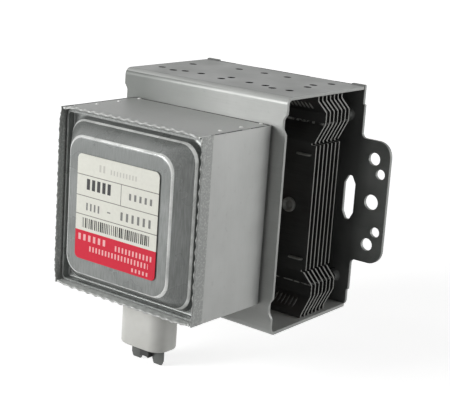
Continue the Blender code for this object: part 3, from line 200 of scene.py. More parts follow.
def addCone(form, centre, radii, depth, steps, upright=False):
    # along Y, or upright along Z; centre is the middle of the first end
    grown = bmesh.ops.create_cone(
        form, cap_ends=True, segments=steps,
        radius1=radii[0] * mm, radius2=radii[1] * mm, depth=abs(depth) * mm,
    )
    flip = Matrix.Rotation(math.pi, 4, "X") if depth < 0 else Matrix.Identity(4)
    if upright:
        along, turn = Vector((0, 0, 1)), Matrix.Identity(4)
    else:
        along, turn = Vector((0, 1, 0)), Matrix.Rotation(-math.pi / 2, 4, "X")
    middle = Vector(centre) + along * depth / 2
    place = Matrix.Translation(middle * mm) @ (turn @ flip)
    bmesh.ops.transform(form, matrix=place, verts=grown["verts"])


def addBlock(form, low, high):
    grown = bmesh.ops.create_cube(form, size=1)
    size = Vector(high) - Vector(low)
    middle = (Vector(high) + Vector(low)) / 2
    place = Matrix.Translation(middle * mm) @ Matrix.Diagonal((*(size * mm), 1))
    bmesh.ops.transform(form, matrix=place, verts=grown["verts"])


# pieces while they are being made

def holdForm(name, form):
    mesh = bpy.data.meshes.new(name)
    form.to_mesh(mesh)
    form.free()
    piece = bpy.data.objects.new(name, mesh)
    bpy.context.scene.collection.objects.link(piece)
    return piece


def settle(piece):
    # keeps the mesh that the modifiers make, and drops the modifiers
    bpy.context.view_layer.update()
    graph = bpy.context.evaluated_depsgraph_get()
    mesh = bpy.data.meshes.new_from_object(piece.evaluated_get(graph))
    piece.modifiers.clear()
    piece.data = mesh


def thicken(piece, sheet, offset):
    change = piece.modifiers.new("sheet", "SOLIDIFY")
    change.thickness = sheet * mm
    change.offset = offset
    change.use_even_offset = True
    settle(piece)


def shape(piece, tool, operation="DIFFERENCE"):
    # tool is a form that is cut away, added or kept
    cutter = holdForm("tool", tool)
    change = piece.modifiers.new("shape", "BOOLEAN")
    change.operation = operation
    change.solver = "EXACT"
    change.object = cutter
    settle(piece)
    bpy.data.objects.remove(cutter, do_unlink=True)


def tidyMesh(piece):
    form = bmesh.new()
    form.from_mesh(piece.data)
    joinFlat(form, 0.003)
    form.to_mesh(piece.data)
    form.free()


def softenEdges(piece, width, segments=2, angle=35):
    change = piece.modifiers.new("edges", "BEVEL")
    change.width = width * mm
    change.segments = segments
    change.limit_method = "ANGLE"
    change.angle_limit = math.radians(angle)
    change.use_clamp_overlap = False
    settle(piece)


def paint(piece, slotIndex, chosen):
    # gives one of the piece's finishes to the faces that a test picks
    for face in piece.data.polygons:
        if chosen(face.center / mm, face.normal):
            face.material_index = slotIndex


def dress(piece, finishes, replaced=(), crease=28, level=False):
    # the last step of every piece: finish, shading, body and the CAD nodes it stands for
    piece.data.materials.clear()
    for finish in finishes:
        piece.data.materials.append(finish)
    piece.data.shade_smooth()
    piece.data.set_sharp_from_angle(angle=math.radians(crease))
    if level:
        # keeps large flat faces free of bands of shade
        change = piece.modifiers.new("normals", "WEIGHTED_NORMAL")
        change.keep_sharp = True
        settle(piece)
    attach(piece, "root")
    if replaced:
        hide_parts(*replaced)


# finishes

cloudSpan = (0.35, 0.65)  # most of a cloud's values lie in here
softSpan = (0.3, 0.7)  # a wider span gives a softer change of tone


def newFinish(name):
    finish = bpy.data.materials.new(name)
    finish.use_nodes = True
    tree = finish.node_tree
    return finish, tree, tree.nodes["Principled BSDF"]


def addNode(tree, kind, inputs=(), **choices):
    node = tree.nodes.new(kind)
    for key, value in choices.items():
        setattr(node, key, value)
    for key, value in dict(inputs).items():
        if isinstance(value, bpy.types.NodeSocket):
            tree.links.new(value, node.inputs[key])
        else:
            node.inputs[key].default_value = value
    return node


def whereOn(tree):
    return addNode(tree, "ShaderNodeTexCoord").outputs["Object"]


def cloud(tree, where, scale, detail, rough=0.55, stretch=(1, 1, 1)):
    # noise whose features are about 1 / scale millimetres across
    sizes = [scale * value / mm for value in stretch]
    spot = addNode(tree, "ShaderNodeMapping", {"Vector": where, "Scale": sizes}).outputs[0]
    inputs = {"Vector": spot, "Scale": 1.0, "Detail": detail, "Roughness": rough}
    return addNode(tree, "ShaderNodeTexNoise", inputs).outputs["Fac"]


def ramp(tree, value, low, high, start=0.0, end=1.0):
    inputs = {0: value, 1: low, 2: high, 3: start, 4: end}
    return addNode(tree, "ShaderNodeMapRange", inputs).outputs[0]


def sums(tree, operation, first, second=0.0):
    return addNode(tree, "ShaderNodeMath", {0: first, 1: second}, operation=operation).outputs[0]


def allOf(tree, first, *others):
    # a mask that is on where all of the masks are
    for other in others:
        first = sums(tree, "MULTIPLY", first, other)
    return first


def anyOf(tree, first, *others):
    for other in others:
        first = sums(tree, "MAXIMUM", first, other)
    return first


def above(tree, value, level):
    return sums(tree, "GREATER_THAN", value, level)


def below(tree, value, level):
    return sums(tree, "LESS_THAN", value, level)


def between(tree, value, low, high):
    return allOf(tree, above(tree, value, low), below(tree, value, high))


def mixed(tree, share, first, second):
    node = addNode(tree, "ShaderNodeMix", data_type="RGBA")
    for index, value in ((0, share), (6, first), (7, second)):
        if isinstance(value, bpy.types.NodeSocket):
            tree.links.new(value, node.inputs[index])
        elif index == 0:
            node.inputs[index].default_value = value
        else:
            node.inputs[index].default_value = (*value, 1)
    return node.outputs[2]


def bumped(tree, shader, height, depth):
    node = addNode(tree, "ShaderNodeBump", {"Height": height, "Distance": depth * mm})
    tree.links.new(node.outputs[0], shader.inputs["Normal"])


def placeOn(tree, where):
    # the three coordinates of a point, in millimetres
    split = addNode(tree, "ShaderNodeSeparateXYZ", {0: where})
    return [sums(tree, "MULTIPLY", split.outputs[index], 1 / mm) for index in range(3)]


zincLook = {
    "colour": (0.50, 0.51, 0.495), "deep": (0.43, 0.44, 0.425), "metallic": 0.12,
    "specular": 0.22, "rough": (0.32, 0.44), "streakScale": 0.10, "streakStretch": (1, 22, 22),
    "streakShare": 0.35, "streakDepth": 0.004, "cloudScale": 0.05, "fleckScale": 0.45,
    "fleckSpan": (0.60, 0.72), "fleckShare": 0.25, "fleck": (0.32, 0.33, 0.32),
}


def sheetMetal(name, changes, extra=None):
    # rolled sheet: fine streaks one way, a cloudy tone, and small flecks from handling
    look = {**zincLook, **changes}
    finish, tree, shader = newFinish(name)
    where = whereOn(tree)
    streaks = cloud(tree, where, look["streakScale"], 5, 0.65, look["streakStretch"])
    clouds = cloud(tree, where, look["cloudScale"], 3)
    flecks = cloud(tree, where, look["fleckScale"], 6, 0.6)
    share = look["streakShare"]
    tone = sums(tree, "ADD", sums(tree, "MULTIPLY", streaks, share),
                sums(tree, "MULTIPLY", clouds, 1 - share))
    base = mixed(tree, ramp(tree, tone, *cloudSpan), look["deep"], look["colour"])
    spots = ramp(tree, flecks, *look["fleckSpan"], 0.0, look["fleckShare"])
    base = mixed(tree, spots, base, look["fleck"])
    if extra:
        base = extra(tree, where, base)
    tree.links.new(base, shader.inputs["Base Color"])
    roughness = ramp(tree, clouds, *cloudSpan, *look["rough"])
    tree.links.new(roughness, shader.inputs["Roughness"])
    shader.inputs["Metallic"].default_value = look["metallic"]
    shader.inputs["Specular IOR Level"].default_value = look["specular"]
    bumped(tree, shader, streaks, look["streakDepth"])
    return finish


def mouldedPlastic(name, look):
    finish, tree, shader = newFinish(name)
    where = whereOn(tree)
    skin = cloud(tree, where, look["skinScale"], 3)
    clouds = ramp(tree, cloud(tree, where, 0.12, 2), *softSpan)
    base = mixed(tree, clouds, look["deep"], look["colour"])
    tree.links.new(base, shader.inputs["Base Color"])
    tree.links.new(ramp(tree, skin, *softSpan, *look["rough"]), shader.inputs["Roughness"])
    bumped(tree, shader, skin, look["skinDepth"])
    return finish


yokeShadeLook = {
    "topZ": 45.3, "topShare": 0.75, "topShade": (0.23, 0.24, 0.23),
    "frontY": -52.5, "fadeX": (14.0, -30.0), "frontShade": (0.19, 0.20, 0.19),
}


def paintedYokeShade(tree, where, base):
    # painted shade: the top of the yoke is darkened as if less lit, and its front darkens towards
    # one end where its reflection is dimmer
    look = yokeShadeLook
    x, y, z = placeOn(tree, where)
    onTop = allOf(tree, above(tree, z, look["topZ"]), look["topShare"])
    base = mixed(tree, onTop, base, look["topShade"])
    share = allOf(tree, ramp(tree, x, *look["fadeX"]), below(tree, y, look["frontY"]))
    return mixed(tree, share, base, look["frontShade"])


crimpShadeLook = {
    "frontY": -87.6, "sideX": 33.6, "topZ": 33.6, "scale": 1.3, "blotch": (0.50, 0.66),
    "dark": (0.33, 0.34, 0.33), "light": (0.50, 0.51, 0.49),
    "cornerY": (-54.7, -54.0), "cornerShare": 0.95, "grimeAndShade": (0.02, 0.02, 0.02),
    "seam": (33.0, 33.7), "seamScale": 0.25, "seamWear": (0.38, 0.5), "seamShare": (0.25, 0.95),
    "inside": (32.6, 33.75), "pitch": 4.25, "crestGlintShare": 0.13, "crestGlint": (0.80, 0.81, 0.79),
}


def crimpToneShadeAndGlint(tree, where, base):
    # the front of each side, over the crimped band, is darker with light blotches
    look = crimpShadeLook
    x, y, z = placeOn(tree, where)
    out, up = sums(tree, "ABSOLUTE", x), sums(tree, "ABSOLUTE", z)
    inFront = below(tree, y, look["frontY"])
    blotches = ramp(tree, cloud(tree, where, look["scale"], 3, 0.6), *look["blotch"])
    tone = mixed(tree, blotches, look["dark"], look["light"])
    onSide = above(tree, out, look["sideX"])
    toned = mixed(tree, allOf(tree, inFront, onSide), base, tone)
    # painted shade: the corner between the box and the yoke is darkened, as if the yoke shaded it
    cornerShade = ramp(tree, y, *look["cornerY"], 0.0, look["cornerShare"])
    toned = mixed(tree, cornerShade, toned, look["grimeAndShade"])
    # a dark seam runs along the top, where the side sheet is folded over
    seam = allOf(tree, between(tree, out, *look["seam"]), above(tree, up, look["topZ"]))
    patches = cloud(tree, where, look["seamScale"], 3, 0.6)
    patchy = ramp(tree, patches, *look["seamWear"], *look["seamShare"])
    toned = mixed(tree, allOf(tree, seam, patchy), toned, look["grimeAndShade"])
    # painted highlight: a light line on the inside at each wave crest, where the waves would catch
    # the light
    crestGlint = sums(tree, "FRACT", sums(tree, "DIVIDE", z, look["pitch"]))
    onInside = allOf(tree, between(tree, out, *look["inside"]), inFront)
    crestGlints = allOf(tree, below(tree, crestGlint, look["crestGlintShare"]), onInside)
    return mixed(tree, crestGlints, toned, look["crestGlint"])


edgeHighlightLook = {
    "innerY": (-91.4, -90.5), "innerOut": 32.1, "outerY": (-97.5, -96.8), "outerShare": 0.8,
    "scale": 0.12, "patches": (0.35, 0.6), "share": (0.55, 1.0), "highlight": (0.90, 0.91, 0.89),
    "panelY": -97.0, "panelZ": (4.0, 24.0), "panelShare": 0.5, "panelShade": (0.12, 0.13, 0.125),
}


def paintedEdgeHighlights(tree, where, base):
    # painted highlights on the two convex edges of the drawing, in patches; painted shade darkens
    # the panel towards its top
    look = edgeHighlightLook
    x, y, z = placeOn(tree, where)
    out = anyOf(tree, sums(tree, "ABSOLUTE", x), sums(tree, "ABSOLUTE", z))
    inner = allOf(tree, between(tree, y, *look["innerY"]), below(tree, out, look["innerOut"]))
    outer = allOf(tree, between(tree, y, *look["outerY"]), look["outerShare"])
    patches = cloud(tree, where, look["scale"], 3, 0.6)
    patchy = ramp(tree, patches, *look["patches"], *look["share"])
    edges = allOf(tree, anyOf(tree, inner, outer), patchy)
    towardsTop = ramp(tree, z, *look["panelZ"], 0.0, look["panelShare"])
    onPanel = allOf(tree, below(tree, y, look["panelY"]), towardsTop)
    base = mixed(tree, onPanel, base, look["panelShade"])
    return mixed(tree, edges, base, look["highlight"])


innerShadeLook = {"fadeX": (40.0, 46.0), "share": 0.62, "innerY": -1.2, "innerShade": (0.05, 0.05, 0.05)}


def paintedInnerShade(tree, where, base):
    # painted shade: inside the yoke the plate's front face is darkened, where the yoke and fins
    # shade it
    look = innerShadeLook
    x, y, _ = placeOn(tree, where)
    inside = ramp(tree, sums(tree, "ABSOLUTE", x), *look["fadeX"], look["share"], 0.0)
    return mixed(tree, allOf(tree, inside, below(tree, y, look["innerY"])), base, look["innerShade"])


bendHighlightLook = {
    "height": (31.9, 32.6), "scale": 0.5, "patches": (0.42, 0.55), "highlight": (0.55, 0.55, 0.53),
}


def paintedBendHighlights(tree, where, base):
    # painted highlights: the bend lines between slope and crest are brightened in places, where
    # light would catch them
    look = bendHighlightLook
    _, _, z = placeOn(tree, where)
    onBend = between(tree, sums(tree, "ABSOLUTE", z), *look["height"])
    patchy = ramp(tree, cloud(tree, where, look["scale"], 3, 0.6), *look["patches"])
    return mixed(tree, allOf(tree, onBend, patchy), base, look["highlight"])


zincFinish = sheetMetal("zincPlatedSteel", {})
yokeFinish = sheetMetal("yokeSteel", {}, paintedYokeShade)
cutEdge = sheetMetal("cutSteelEdge", {
    "colour": (0.46, 0.47, 0.45), "deep": (0.30, 0.31, 0.30), "metallic": 0.1,
    "specular": 0.2, "rough": (0.45, 0.6), "streakScale": 0.8,
})
# painted highlight: the raised weld dots are near white, standing in for the light they catch
weldHighlightFinish = sheetMetal("weldHighlight", {
    "colour": (0.95, 0.95, 0.93), "deep": (0.85, 0.85, 0.83), "fleckShare": 0.0,
    "metallic": 0.2, "rough": (0.25, 0.35),
})
# painted shade: the punch marks are near black, standing in for the shade in their hollows
markShadeFinish = sheetMetal("punchMarkShade", {
    "colour": (0.03, 0.03, 0.03), "deep": (0.02, 0.02, 0.02), "metallic": 0.0,
    "specular": 0.05, "rough": (0.5, 0.6),
})
boxFinish = sheetMetal("filterBoxSteel", {
    "colour": (0.55, 0.56, 0.545), "deep": (0.48, 0.49, 0.475), "rough": (0.34, 0.46),
    "streakStretch": (16, 16, 1), "streakShare": 0.25,
}, crimpToneShadeAndGlint)
coverFinish = sheetMetal("drawnCoverSteel", {
    "colour": (0.285, 0.295, 0.288), "deep": (0.150, 0.160, 0.153), "metallic": 0.28,
    "specular": 0.5, "rough": (0.24, 0.36), "streakScale": 0.18, "streakStretch": (14, 14, 1),
    "streakShare": 0.65, "streakDepth": 0.008, "fleck": (0.16, 0.17, 0.165),
}, paintedEdgeHighlights)
plateFinish = sheetMetal("dullPlateSteel", {
    "colour": (0.27, 0.28, 0.27), "deep": (0.21, 0.22, 0.21), "fleck": (0.12, 0.12, 0.12),
    "metallic": 0.3, "specular": 0.3, "rough": (0.42, 0.58), "streakShare": 0.2,
}, paintedInnerShade)
# painted shade: the fin faces are near black, standing in for the shade between the fins and
# inside the yoke
finShadeFace = sheetMetal("finFaceShade", {
    "colour": (0.060, 0.060, 0.058), "deep": (0.036, 0.036, 0.035), "fleck": (0.09, 0.09, 0.09),
    "metallic": 0.5, "specular": 0.2, "rough": (0.40, 0.55), "streakStretch": (1, 18, 18),
}, paintedBendHighlights)
finEdge = sheetMetal("finCutEdge", {
    "colour": (0.27, 0.27, 0.255), "deep": (0.19, 0.19, 0.18), "fleck": (0.20, 0.20, 0.20),
    "specular": 0.2, "rough": (0.45, 0.6), "streakScale": 0.8,
})
copperFinish = sheetMetal("bareCopper", {
    "colour": (0.74, 0.38, 0.24), "deep": (0.55, 0.27, 0.17), "fleck": (0.40, 0.20, 0.12),
    "metallic": 1.0, "rough": (0.28, 0.42), "cloudScale": 0.15,
})
refractoryFinish = sheetMetal("refractoryMetal", {
    "colour": (0.30, 0.30, 0.31), "deep": (0.20, 0.20, 0.21), "fleck": (0.15, 0.15, 0.16),
    "metallic": 0.9, "rough": (0.38, 0.52),
})
tabFinish = sheetMetal("tabSteel", {
    "colour": (0.17, 0.175, 0.17), "deep": (0.10, 0.105, 0.10), "fleck": (0.07, 0.07, 0.07),
    "metallic": 0.4, "rough": (0.30, 0.45), "streakScale": 0.5,
})
strandFinish = sheetMetal("gasketStrand", {
    "colour": (0.62, 0.52, 0.30), "deep": (0.46, 0.38, 0.22), "fleck": (0.34, 0.28, 0.16),
    "metallic": 0.8, "rough": (0.30, 0.45), "cloudScale": 0.3,
})
ferriteFinish = mouldedPlastic("firedFerrite", {
    "colour": (0.032, 0.032, 0.033), "deep": (0.018, 0.018, 0.019), "rough": (0.45, 0.7),
    "skinScale": 2.2, "skinDepth": 0.04,
})
ceramicFinish = mouldedPlastic("firedCeramic", {
    "colour": (0.80, 0.74, 0.68), "deep": (0.74, 0.66, 0.60), "rough": (0.22, 0.4),
    "skinScale": 3.0, "skinDepth": 0.008,
})
shroudFinish = mouldedPlastic("shroudPlastic", {
    "colour": (0.62, 0.62, 0.59), "deep": (0.55, 0.55, 0.52), "rough": (0.34, 0.48),
    "skinScale": 2.5, "skinDepth": 0.010,
})
insulatorFinish = mouldedPlastic("insulatorPlastic", {
    "colour": (0.028, 0.028, 0.028), "deep": (0.015, 0.015, 0.015), "rough": (0.4, 0.55),
    "skinScale": 2.5, "skinDepth": 0.015,
})
resinFinish = mouldedPlastic("pottingResin", {
    "colour": (0.06, 0.09, 0.15), "deep": (0.04, 0.06, 0.10), "rough": (0.2, 0.35),
    "skinScale": 1.0, "skinDepth": 0.02,
})


def labelPrint(name, look):
    # off-white film with rules, strokes, bars and a red field; the print holds no words
    finish, tree, shader = newFinish(name)
    where = whereOn(tree)
    x, _, z = placeOn(tree, where)

    def field(left, right, low, high):
        return allOf(tree, between(tree, x, left, right), between(tree, z, low, high))

    def strokes(left, right, low, high, pitch, share):
        along = sums(tree, "DIVIDE", sums(tree, "SUBTRACT", x, left), pitch)
        inCell = below(tree, sums(tree, "FRACT", along), share)
        return allOf(tree, field(left, right, low, high), inCell)

    side, half = look["fieldHalf"], look["rule"] / 2
    rules = [field(-side, side, level - half, level + half) for level in look["ruleLevels"]]
    rules.append(field(look["divider"] - half, look["divider"] + half, *look["dividerSpan"]))
    # the bars stand in equal cells, and each cell is inked to a width of its own
    left, right, low, high, pitch = look["bars"]
    cells = sums(tree, "DIVIDE", x, pitch)
    cell = sums(tree, "FLOOR", cells)
    chance = addNode(tree, "ShaderNodeTexWhiteNoise", {"W": cell}, noise_dimensions="1D")
    inked = ramp(tree, chance.outputs["Value"], 0.0, 1.0, *look["barShare"])
    inBar = below(tree, sums(tree, "FRACT", cells), inked)
    bars = allOf(tree, field(left, right, low, high), inBar)
    fibres = cloud(tree, where, look["fibreScale"], 4)
    toned = mixed(tree, ramp(tree, fibres, *softSpan), look["deep"], look["colour"])
    toned = mixed(tree, field(-side, side, *look["redSpan"]), toned, look["red"])
    for ink, rows in look["strokes"]:
        toned = mixed(tree, anyOf(tree, *[strokes(*row) for row in rows]), toned, ink)
    toned = mixed(tree, anyOf(tree, *rules), toned, look["ruleInk"])
    toned = mixed(tree, bars, toned, look["barInk"])
    tree.links.new(toned, shader.inputs["Base Color"])
    shader.inputs["Specular IOR Level"].default_value = look["specular"]
    tree.links.new(ramp(tree, fibres, *softSpan, *look["rough"]), shader.inputs["Roughness"])
    bumped(tree, shader, fibres, look["fibreDepth"])
    return finish


labelFinish = labelPrint("labelFilm", {
    "colour": (0.75, 0.75, 0.68), "deep": (0.71, 0.71, 0.64), "red": (0.63, 0.018, 0.045),
    "ruleInk": (0.22, 0.21, 0.19), "barInk": (0.035, 0.035, 0.03), "specular": 0.25,
    "rough": (0.42, 0.55), "fibreScale": 0.9, "fibreDepth": 0.004,
    "fieldHalf": 21, "rule": 0.30, "ruleLevels": (12.2, 4.3, -2.8),
    "divider": 2.1, "dividerSpan": (4.3, 12.2), "redSpan": (-21.0, -8.9),
    # left, right, low, high and pitch of the bars
    "bars": (-16.6, 16.5, -7.7, -3.9, 0.95), "barShare": (0.30, 0.78),
    # rows of strokes are left, right, low, high, pitch and the share that is inked
    "strokes": [
        ((0.05, 0.05, 0.05), [(-15.0, -2.4, 6.9, 11.0, 2.6, 0.62)]),
        ((0.20, 0.20, 0.19), [
            (6.0, 17.8, 7.2, 9.6, 2.5, 0.42), (-14.9, -7.6, -0.9, 1.9, 1.95, 0.40),
            (-4.3, -2.7, 0.2, 0.7, 2.0, 0.9), (2.3, 18.0, -1.1, 2.0, 2.7, 0.40),
        ]),
        ((0.56, 0.55, 0.50), [
            (-9.0, -5.4, 14.6, 17.2, 1.9, 0.5), (-3.4, 9.8, 14.6, 16.4, 1.5, 0.45),
        ]),
        ((0.84, 0.45, 0.46), [
            (-18.3, -3.7, -12.6, -10.2, 2.5, 0.48), (0.3, 18.6, -13.2, -11.2, 1.7, 0.45),
            (-12.5, 16.6, -16.2, -14.2, 1.6, 0.45), (8.8, 17.2, -18.9, -17.5, 1.75, 0.45),
        ]),
    ],
})
print("finishes made")


# yoke: one strip bent into a U, with side notches, tenons and punch marks

sagLook = {
    "deep": 1.9, "atY": -33.0, "reachY": 17.0, "fromX": -15.0, "fullX": 38.0, "fromZ": 36.0,
    "fadeZ": 6.0,
}


def sagBottom(piece):
    # the yoke's bottom bows outward on one side, and the fins reach down to it
    look = sagLook
    for corner in piece.data.vertices:
        x, y, z = corner.co / mm
        if z < -look["fromZ"]:
            across = min(max((x - look["fromX"]) / (look["fullX"] - look["fromX"]), 0.0), 1.0)
            along = math.exp(-((y - look["atY"]) / look["reachY"]) ** 2)
            down = min((-z - look["fromZ"]) / look["fadeZ"], 1.0)
            corner.co.z -= look["deep"] * across * across * along * down * mm


yokeLow, yokeHigh = span("yoke_bracket")
yokeSizes = {
    "halfWide": yokeHigh[0], "half": yokeHigh[2], "frontY": yokeLow[1], "tipY": yokeHigh[1],
    "sheet": 1.3, "bend": 2.8, "shoulderY": -1.9, "tenonAt": 19.0, "tenonHalf": 6.0,
    "notchAt": 35.2, "notchLong": 7.6, "notchSlope": 2.0, "notchDeep": 1.4, "notchCorner": 1.6,
    "holeRadius": 10.2, "edge": 0.16, "cutTurn": 0.9, "cutNear": 2,
    "markRadius": 1.65, "markTaper": 0.62, "markDeep": 0.45, "markPast": 0.05,
    "markLoose": 0.1,
    "marks": [
        (-33.2, -38.6), (-25.6, -40.6), (-21.4, -38.1), (-13.9, -37.2), (-1.6, -39.8),
        (-1.2, -34.0), (10.4, -37.5), (18.1, -37.5), (23.2, -39.9), (30.2, -38.6),
        (29.0, -25.1), (27.3, -18.7), (29.6, -9.6), (-32.6, -19.9), (-14.0, -12.6),
        (-1.8, -11.6), (9.6, -11.4),
    ],
}


def makeYoke(sizes):
    half, side = sizes["half"], sizes["halfWide"]
    tip, front, bend = sizes["tipY"], sizes["frontY"], sizes["bend"]
    corners = [(tip, -half, 0), (front, -half, bend), (front, half, bend), (tip, half, 0)]
    form = stripForm(softPath(corners, 8, closed=False), side)
    bmesh.ops.recalc_face_normals(form, faces=form.faces)
    piece = holdForm("yokeBracket", form)
    frontFace = max(piece.data.polygons, key=lambda face: face.area)
    outward = -1.0 if frontFace.normal.dot(Vector(frontFace.center)) > 0 else 1.0
    thicken(piece, sizes["sheet"], outward)
    # the tools reach past the sheet, so that they cut right through it
    tools = bmesh.new()
    wide = side + 1
    inner, outer = sizes["tenonAt"] - sizes["tenonHalf"], sizes["tenonAt"] + sizes["tenonHalf"]
    for start, end in ((-wide, -outer), (-inner, inner), (outer, wide)):
        for level in (-1, 1):
            low, high = sorted((level * (half + 1), level * (half - 4)))
            addBlock(tools, (start, sizes["shoulderY"], low), (end, 2, high))
    shape(piece, tools)
    tools = bmesh.new()
    addCone(tools, (0, front - 2, 0), (sizes["holeRadius"],) * 2, 5, 64)
    shape(piece, tools)
    slope, corner = sizes["notchSlope"], sizes["notchCorner"]
    longHalf = sizes["notchLong"] / 2
    shortHalf = longHalf - slope
    loops = []
    for across in (-1, 1):
        out = across * (side + sizes["notchDeep"])
        deep = across * (side - sizes["notchDeep"])
        for level in (-1, 1):
            at = level * sizes["notchAt"]
            loops.append(softPath([
                (out, at - longHalf - slope, 0), (out, at + longHalf + slope, 0),
                (deep, at + shortHalf, corner), (deep, at - shortHalf, corner),
            ], 4))
    shape(piece, outlineForm(loops, front - 2, front + 4))
    tidyMesh(piece)
    softenEdges(piece, sizes["edge"])
    tools = bmesh.new()
    radius = sizes["markRadius"]
    for level in (-1, 1):
        for x, y in sizes["marks"]:
            centre = (x, y, level * (half + sizes["markPast"]))
            radii = (radius, radius * sizes["markTaper"])
            addCone(tools, centre, radii, -level * sizes["markDeep"], 24, upright=True)
    shape(piece, tools)
    sagBottom(piece)
    dress(piece, [yokeFinish, cutEdge, markShadeFinish], ["yoke_bracket"], level=True)

    def onCut(spot, normal):
        return abs(normal.x) > sizes["cutTurn"] and abs(spot.x) > side - sizes["cutNear"]

    def inMark(spot, normal):
        loose = sizes["markLoose"]
        near = min(math.dist(spot[:2], mark) for mark in sizes["marks"]) < radius + loose
        return near and half - sizes["markDeep"] - loose < abs(spot.z) < half - hair

    paint(piece, 1, onCut)
    # painted shade in the punch marks
    paint(piece, 2, inMark)


makeYoke(yokeSizes)
print("yoke made")


# mounting plate with its ears, holes, slots and dimples

plateHigh = span("mounting_plate")[1]
plateSizes = {
    "sheet": 1.6, "half": yokeHigh[2], "floor": 43.5, "narrow": 40.0, "wide": 40.7,
    "shoulder": 38.2, "corner": 2.5, "wideCorner": 0.3, "lipRise": 0.5, "lipWide": 6.2,
    "lipCorner": 0.5, "tenonInner": 12.7, "tenonOuter": 25.3, "earX": plateHigh[0],
    "earHalf": 25.0, "earTaper": 0.05, "earCorner": 6.0, "earFillet": 2.0,
    "centreHole": 10.2, "holes": [(47.5, 17.5, 2.55), (50.8, 11.8, 2.05), (47.8, 0.0, 3.1)],
    "slotAt": 37.2, "slotHalf": 9.05, "slotWide": 2.6, "slotNarrow": 0.9, "slotTaper": 3.2,
    "slotCorners": (0.8, 1.0), "dimpleAt": (33.8, 33.5), "dimpleRadius": 3.1, "dimpleTop": 1.9,
    "dimpleRise": 2.2, "dimpleWall": 0.8, "dimpleMouth": 0.4, "edge": 0.16,
}


def makePlate(sizes):
    top, floor, ear = sizes["half"], sizes["floor"], sizes["earHalf"]
    inner, outer = sizes["tenonInner"], sizes["tenonOuter"]
    narrow, wide, shoulder = sizes["narrow"], sizes["wide"], sizes["shoulder"]
    earX, earEnd, earCorner = sizes["earX"], ear - sizes["earTaper"], sizes["earCorner"]
    lip, lipStart = top + sizes["lipRise"], narrow - sizes["lipWide"]
    lipCorner = sizes["lipCorner"]
    wideCorner, fillet = sizes["wideCorner"], sizes["earFillet"]
    outline = mirrored([
        (inner, -top, 0), (inner, -floor, 0), (outer, -floor, 0), (outer, -top, 0),
        (narrow, -top, sizes["corner"]), (narrow, -shoulder, 0), (wide, -shoulder, wideCorner),
        (wide, -ear, fillet), (earX, -earEnd, earCorner), (earX, earEnd, earCorner),
        (wide, ear, fillet), (wide, shoulder, wideCorner), (narrow, shoulder, 0),
        (narrow, lip, lipCorner), (lipStart, lip, lipCorner), (lipStart, top, 0),
        (outer, top, 0), (outer, floor, 0), (inner, floor, 0), (inner, top, 0),
    ])
    loops = [softPath(outline, 8), ringOutline(0, 0, sizes["centreHole"], 72)]
    slotEnd, taper = sizes["slotHalf"], sizes["slotTaper"]
    tight, loose = sizes["slotCorners"]
    slot = mirrored([
        (sizes["slotNarrow"], -slotEnd, tight), (sizes["slotWide"], taper - slotEnd, loose),
        (sizes["slotWide"], slotEnd - taper, loose), (sizes["slotNarrow"], slotEnd, tight),
    ])
    for side in (-1, 1):
        for x, z, radius in sizes["holes"]:
            for level in ((-1, 1) if z else (1,)):
                loops.append(ringOutline(side * x, level * z, radius, 36))
        loops.append([(side * sizes["slotAt"] + x, z) for x, z in softPath(slot, 4)])
    form = outlineForm(loops, -sizes["sheet"], 0, joined=False, edge=sizes["edge"])
    piece = holdForm("mountingPlate", form)
    domes, hollows = bmesh.new(), bmesh.new()
    x, z = sizes["dimpleAt"]
    foot, crest, rise = sizes["dimpleRadius"], sizes["dimpleTop"], sizes["dimpleRise"]
    wall, mouth = sizes["dimpleWall"], sizes["dimpleMouth"]
    for side in (-1, 1):
        for level in (-1, 1):
            addCone(domes, (side * x, -wall, level * z), (foot, crest), -wall - rise, 40)
            radii = (foot, crest - wall)
            addCone(hollows, (side * x, mouth, level * z), radii, -mouth - rise, 40)
    shape(piece, domes, "UNION")
    shape(piece, hollows)
    tidyMesh(piece)
    dress(piece, [plateFinish], ["mounting_plate"], level=True)


makePlate(plateSizes)
print("mounting plate made")


# cooling fins: bent sheet with collar, bosses and tabs; the first one has pressed ribs

finSizes = {
    "count": 7, "pitch": 2.62, "lastY": -14.9, "sheet": 0.6, "halfWide": 39.1, "wingHalf": 38.2,
    "middleHalf": 24.8, "wingStart": 25.6, "slitDeep": 2.2, "bend": 1.3, "half": 43.5,
    "rise": 6.4, "crestLow": 32.3, "crestHigh": 36.8, "back": 0.2, "backAt": 41.8,
    "middleCorner": 0.2, "wingCorner": 0.3, "bore": 19.8, "collarWall": 0.6,
    "collarReach": 1.72, "collarFoot": 0.7, "collarEase": 0.2, "bossAt": 29.0,
    "tabAt": (34.2, 20.6), "tabWide": 6.4, "tabArch": 0.5, "tabEnd": 1.2,
    "tabCorners": (0.3, 0.6),
    "edgeTurn": 0.35, "proud": 0.2,
    "ribCount": 7, "ribStart": 21.9, "ribPitch": 1.85, "ribLong": 2.2, "ribWide": 0.42,
}
bossProfile = [
    (0, -0.9), (0.7, -0.9), (1.0, -0.55), (1.35, -0.45), (1.75, -0.75), (2.15, -1.35),
    (2.5, -1.4), (2.8, -1.05), (2.9, -0.3), (2.9, 0.0), (0, 0.0),
]


def tabForm(sizes, x, z, face):
    # a lanced bridge: its ends turn in, and its middle stands out
    half, sheet, crest = sizes["tabWide"] / 2, sizes["sheet"], face - sizes["collarReach"]
    shoulder, end = crest + sizes["tabArch"], half - sizes["tabEnd"]
    outer, inner = sizes["tabCorners"]
    outline = softPath([
        (x - half, 0.1, 0), (x - half, shoulder, outer), (x - end, crest, inner),
        (x + end, crest, inner), (x + half, shoulder, outer), (x + half, 0.1, 0),
    ], 3)
    return outlineForm([outline], z, z + sheet, upright=True)


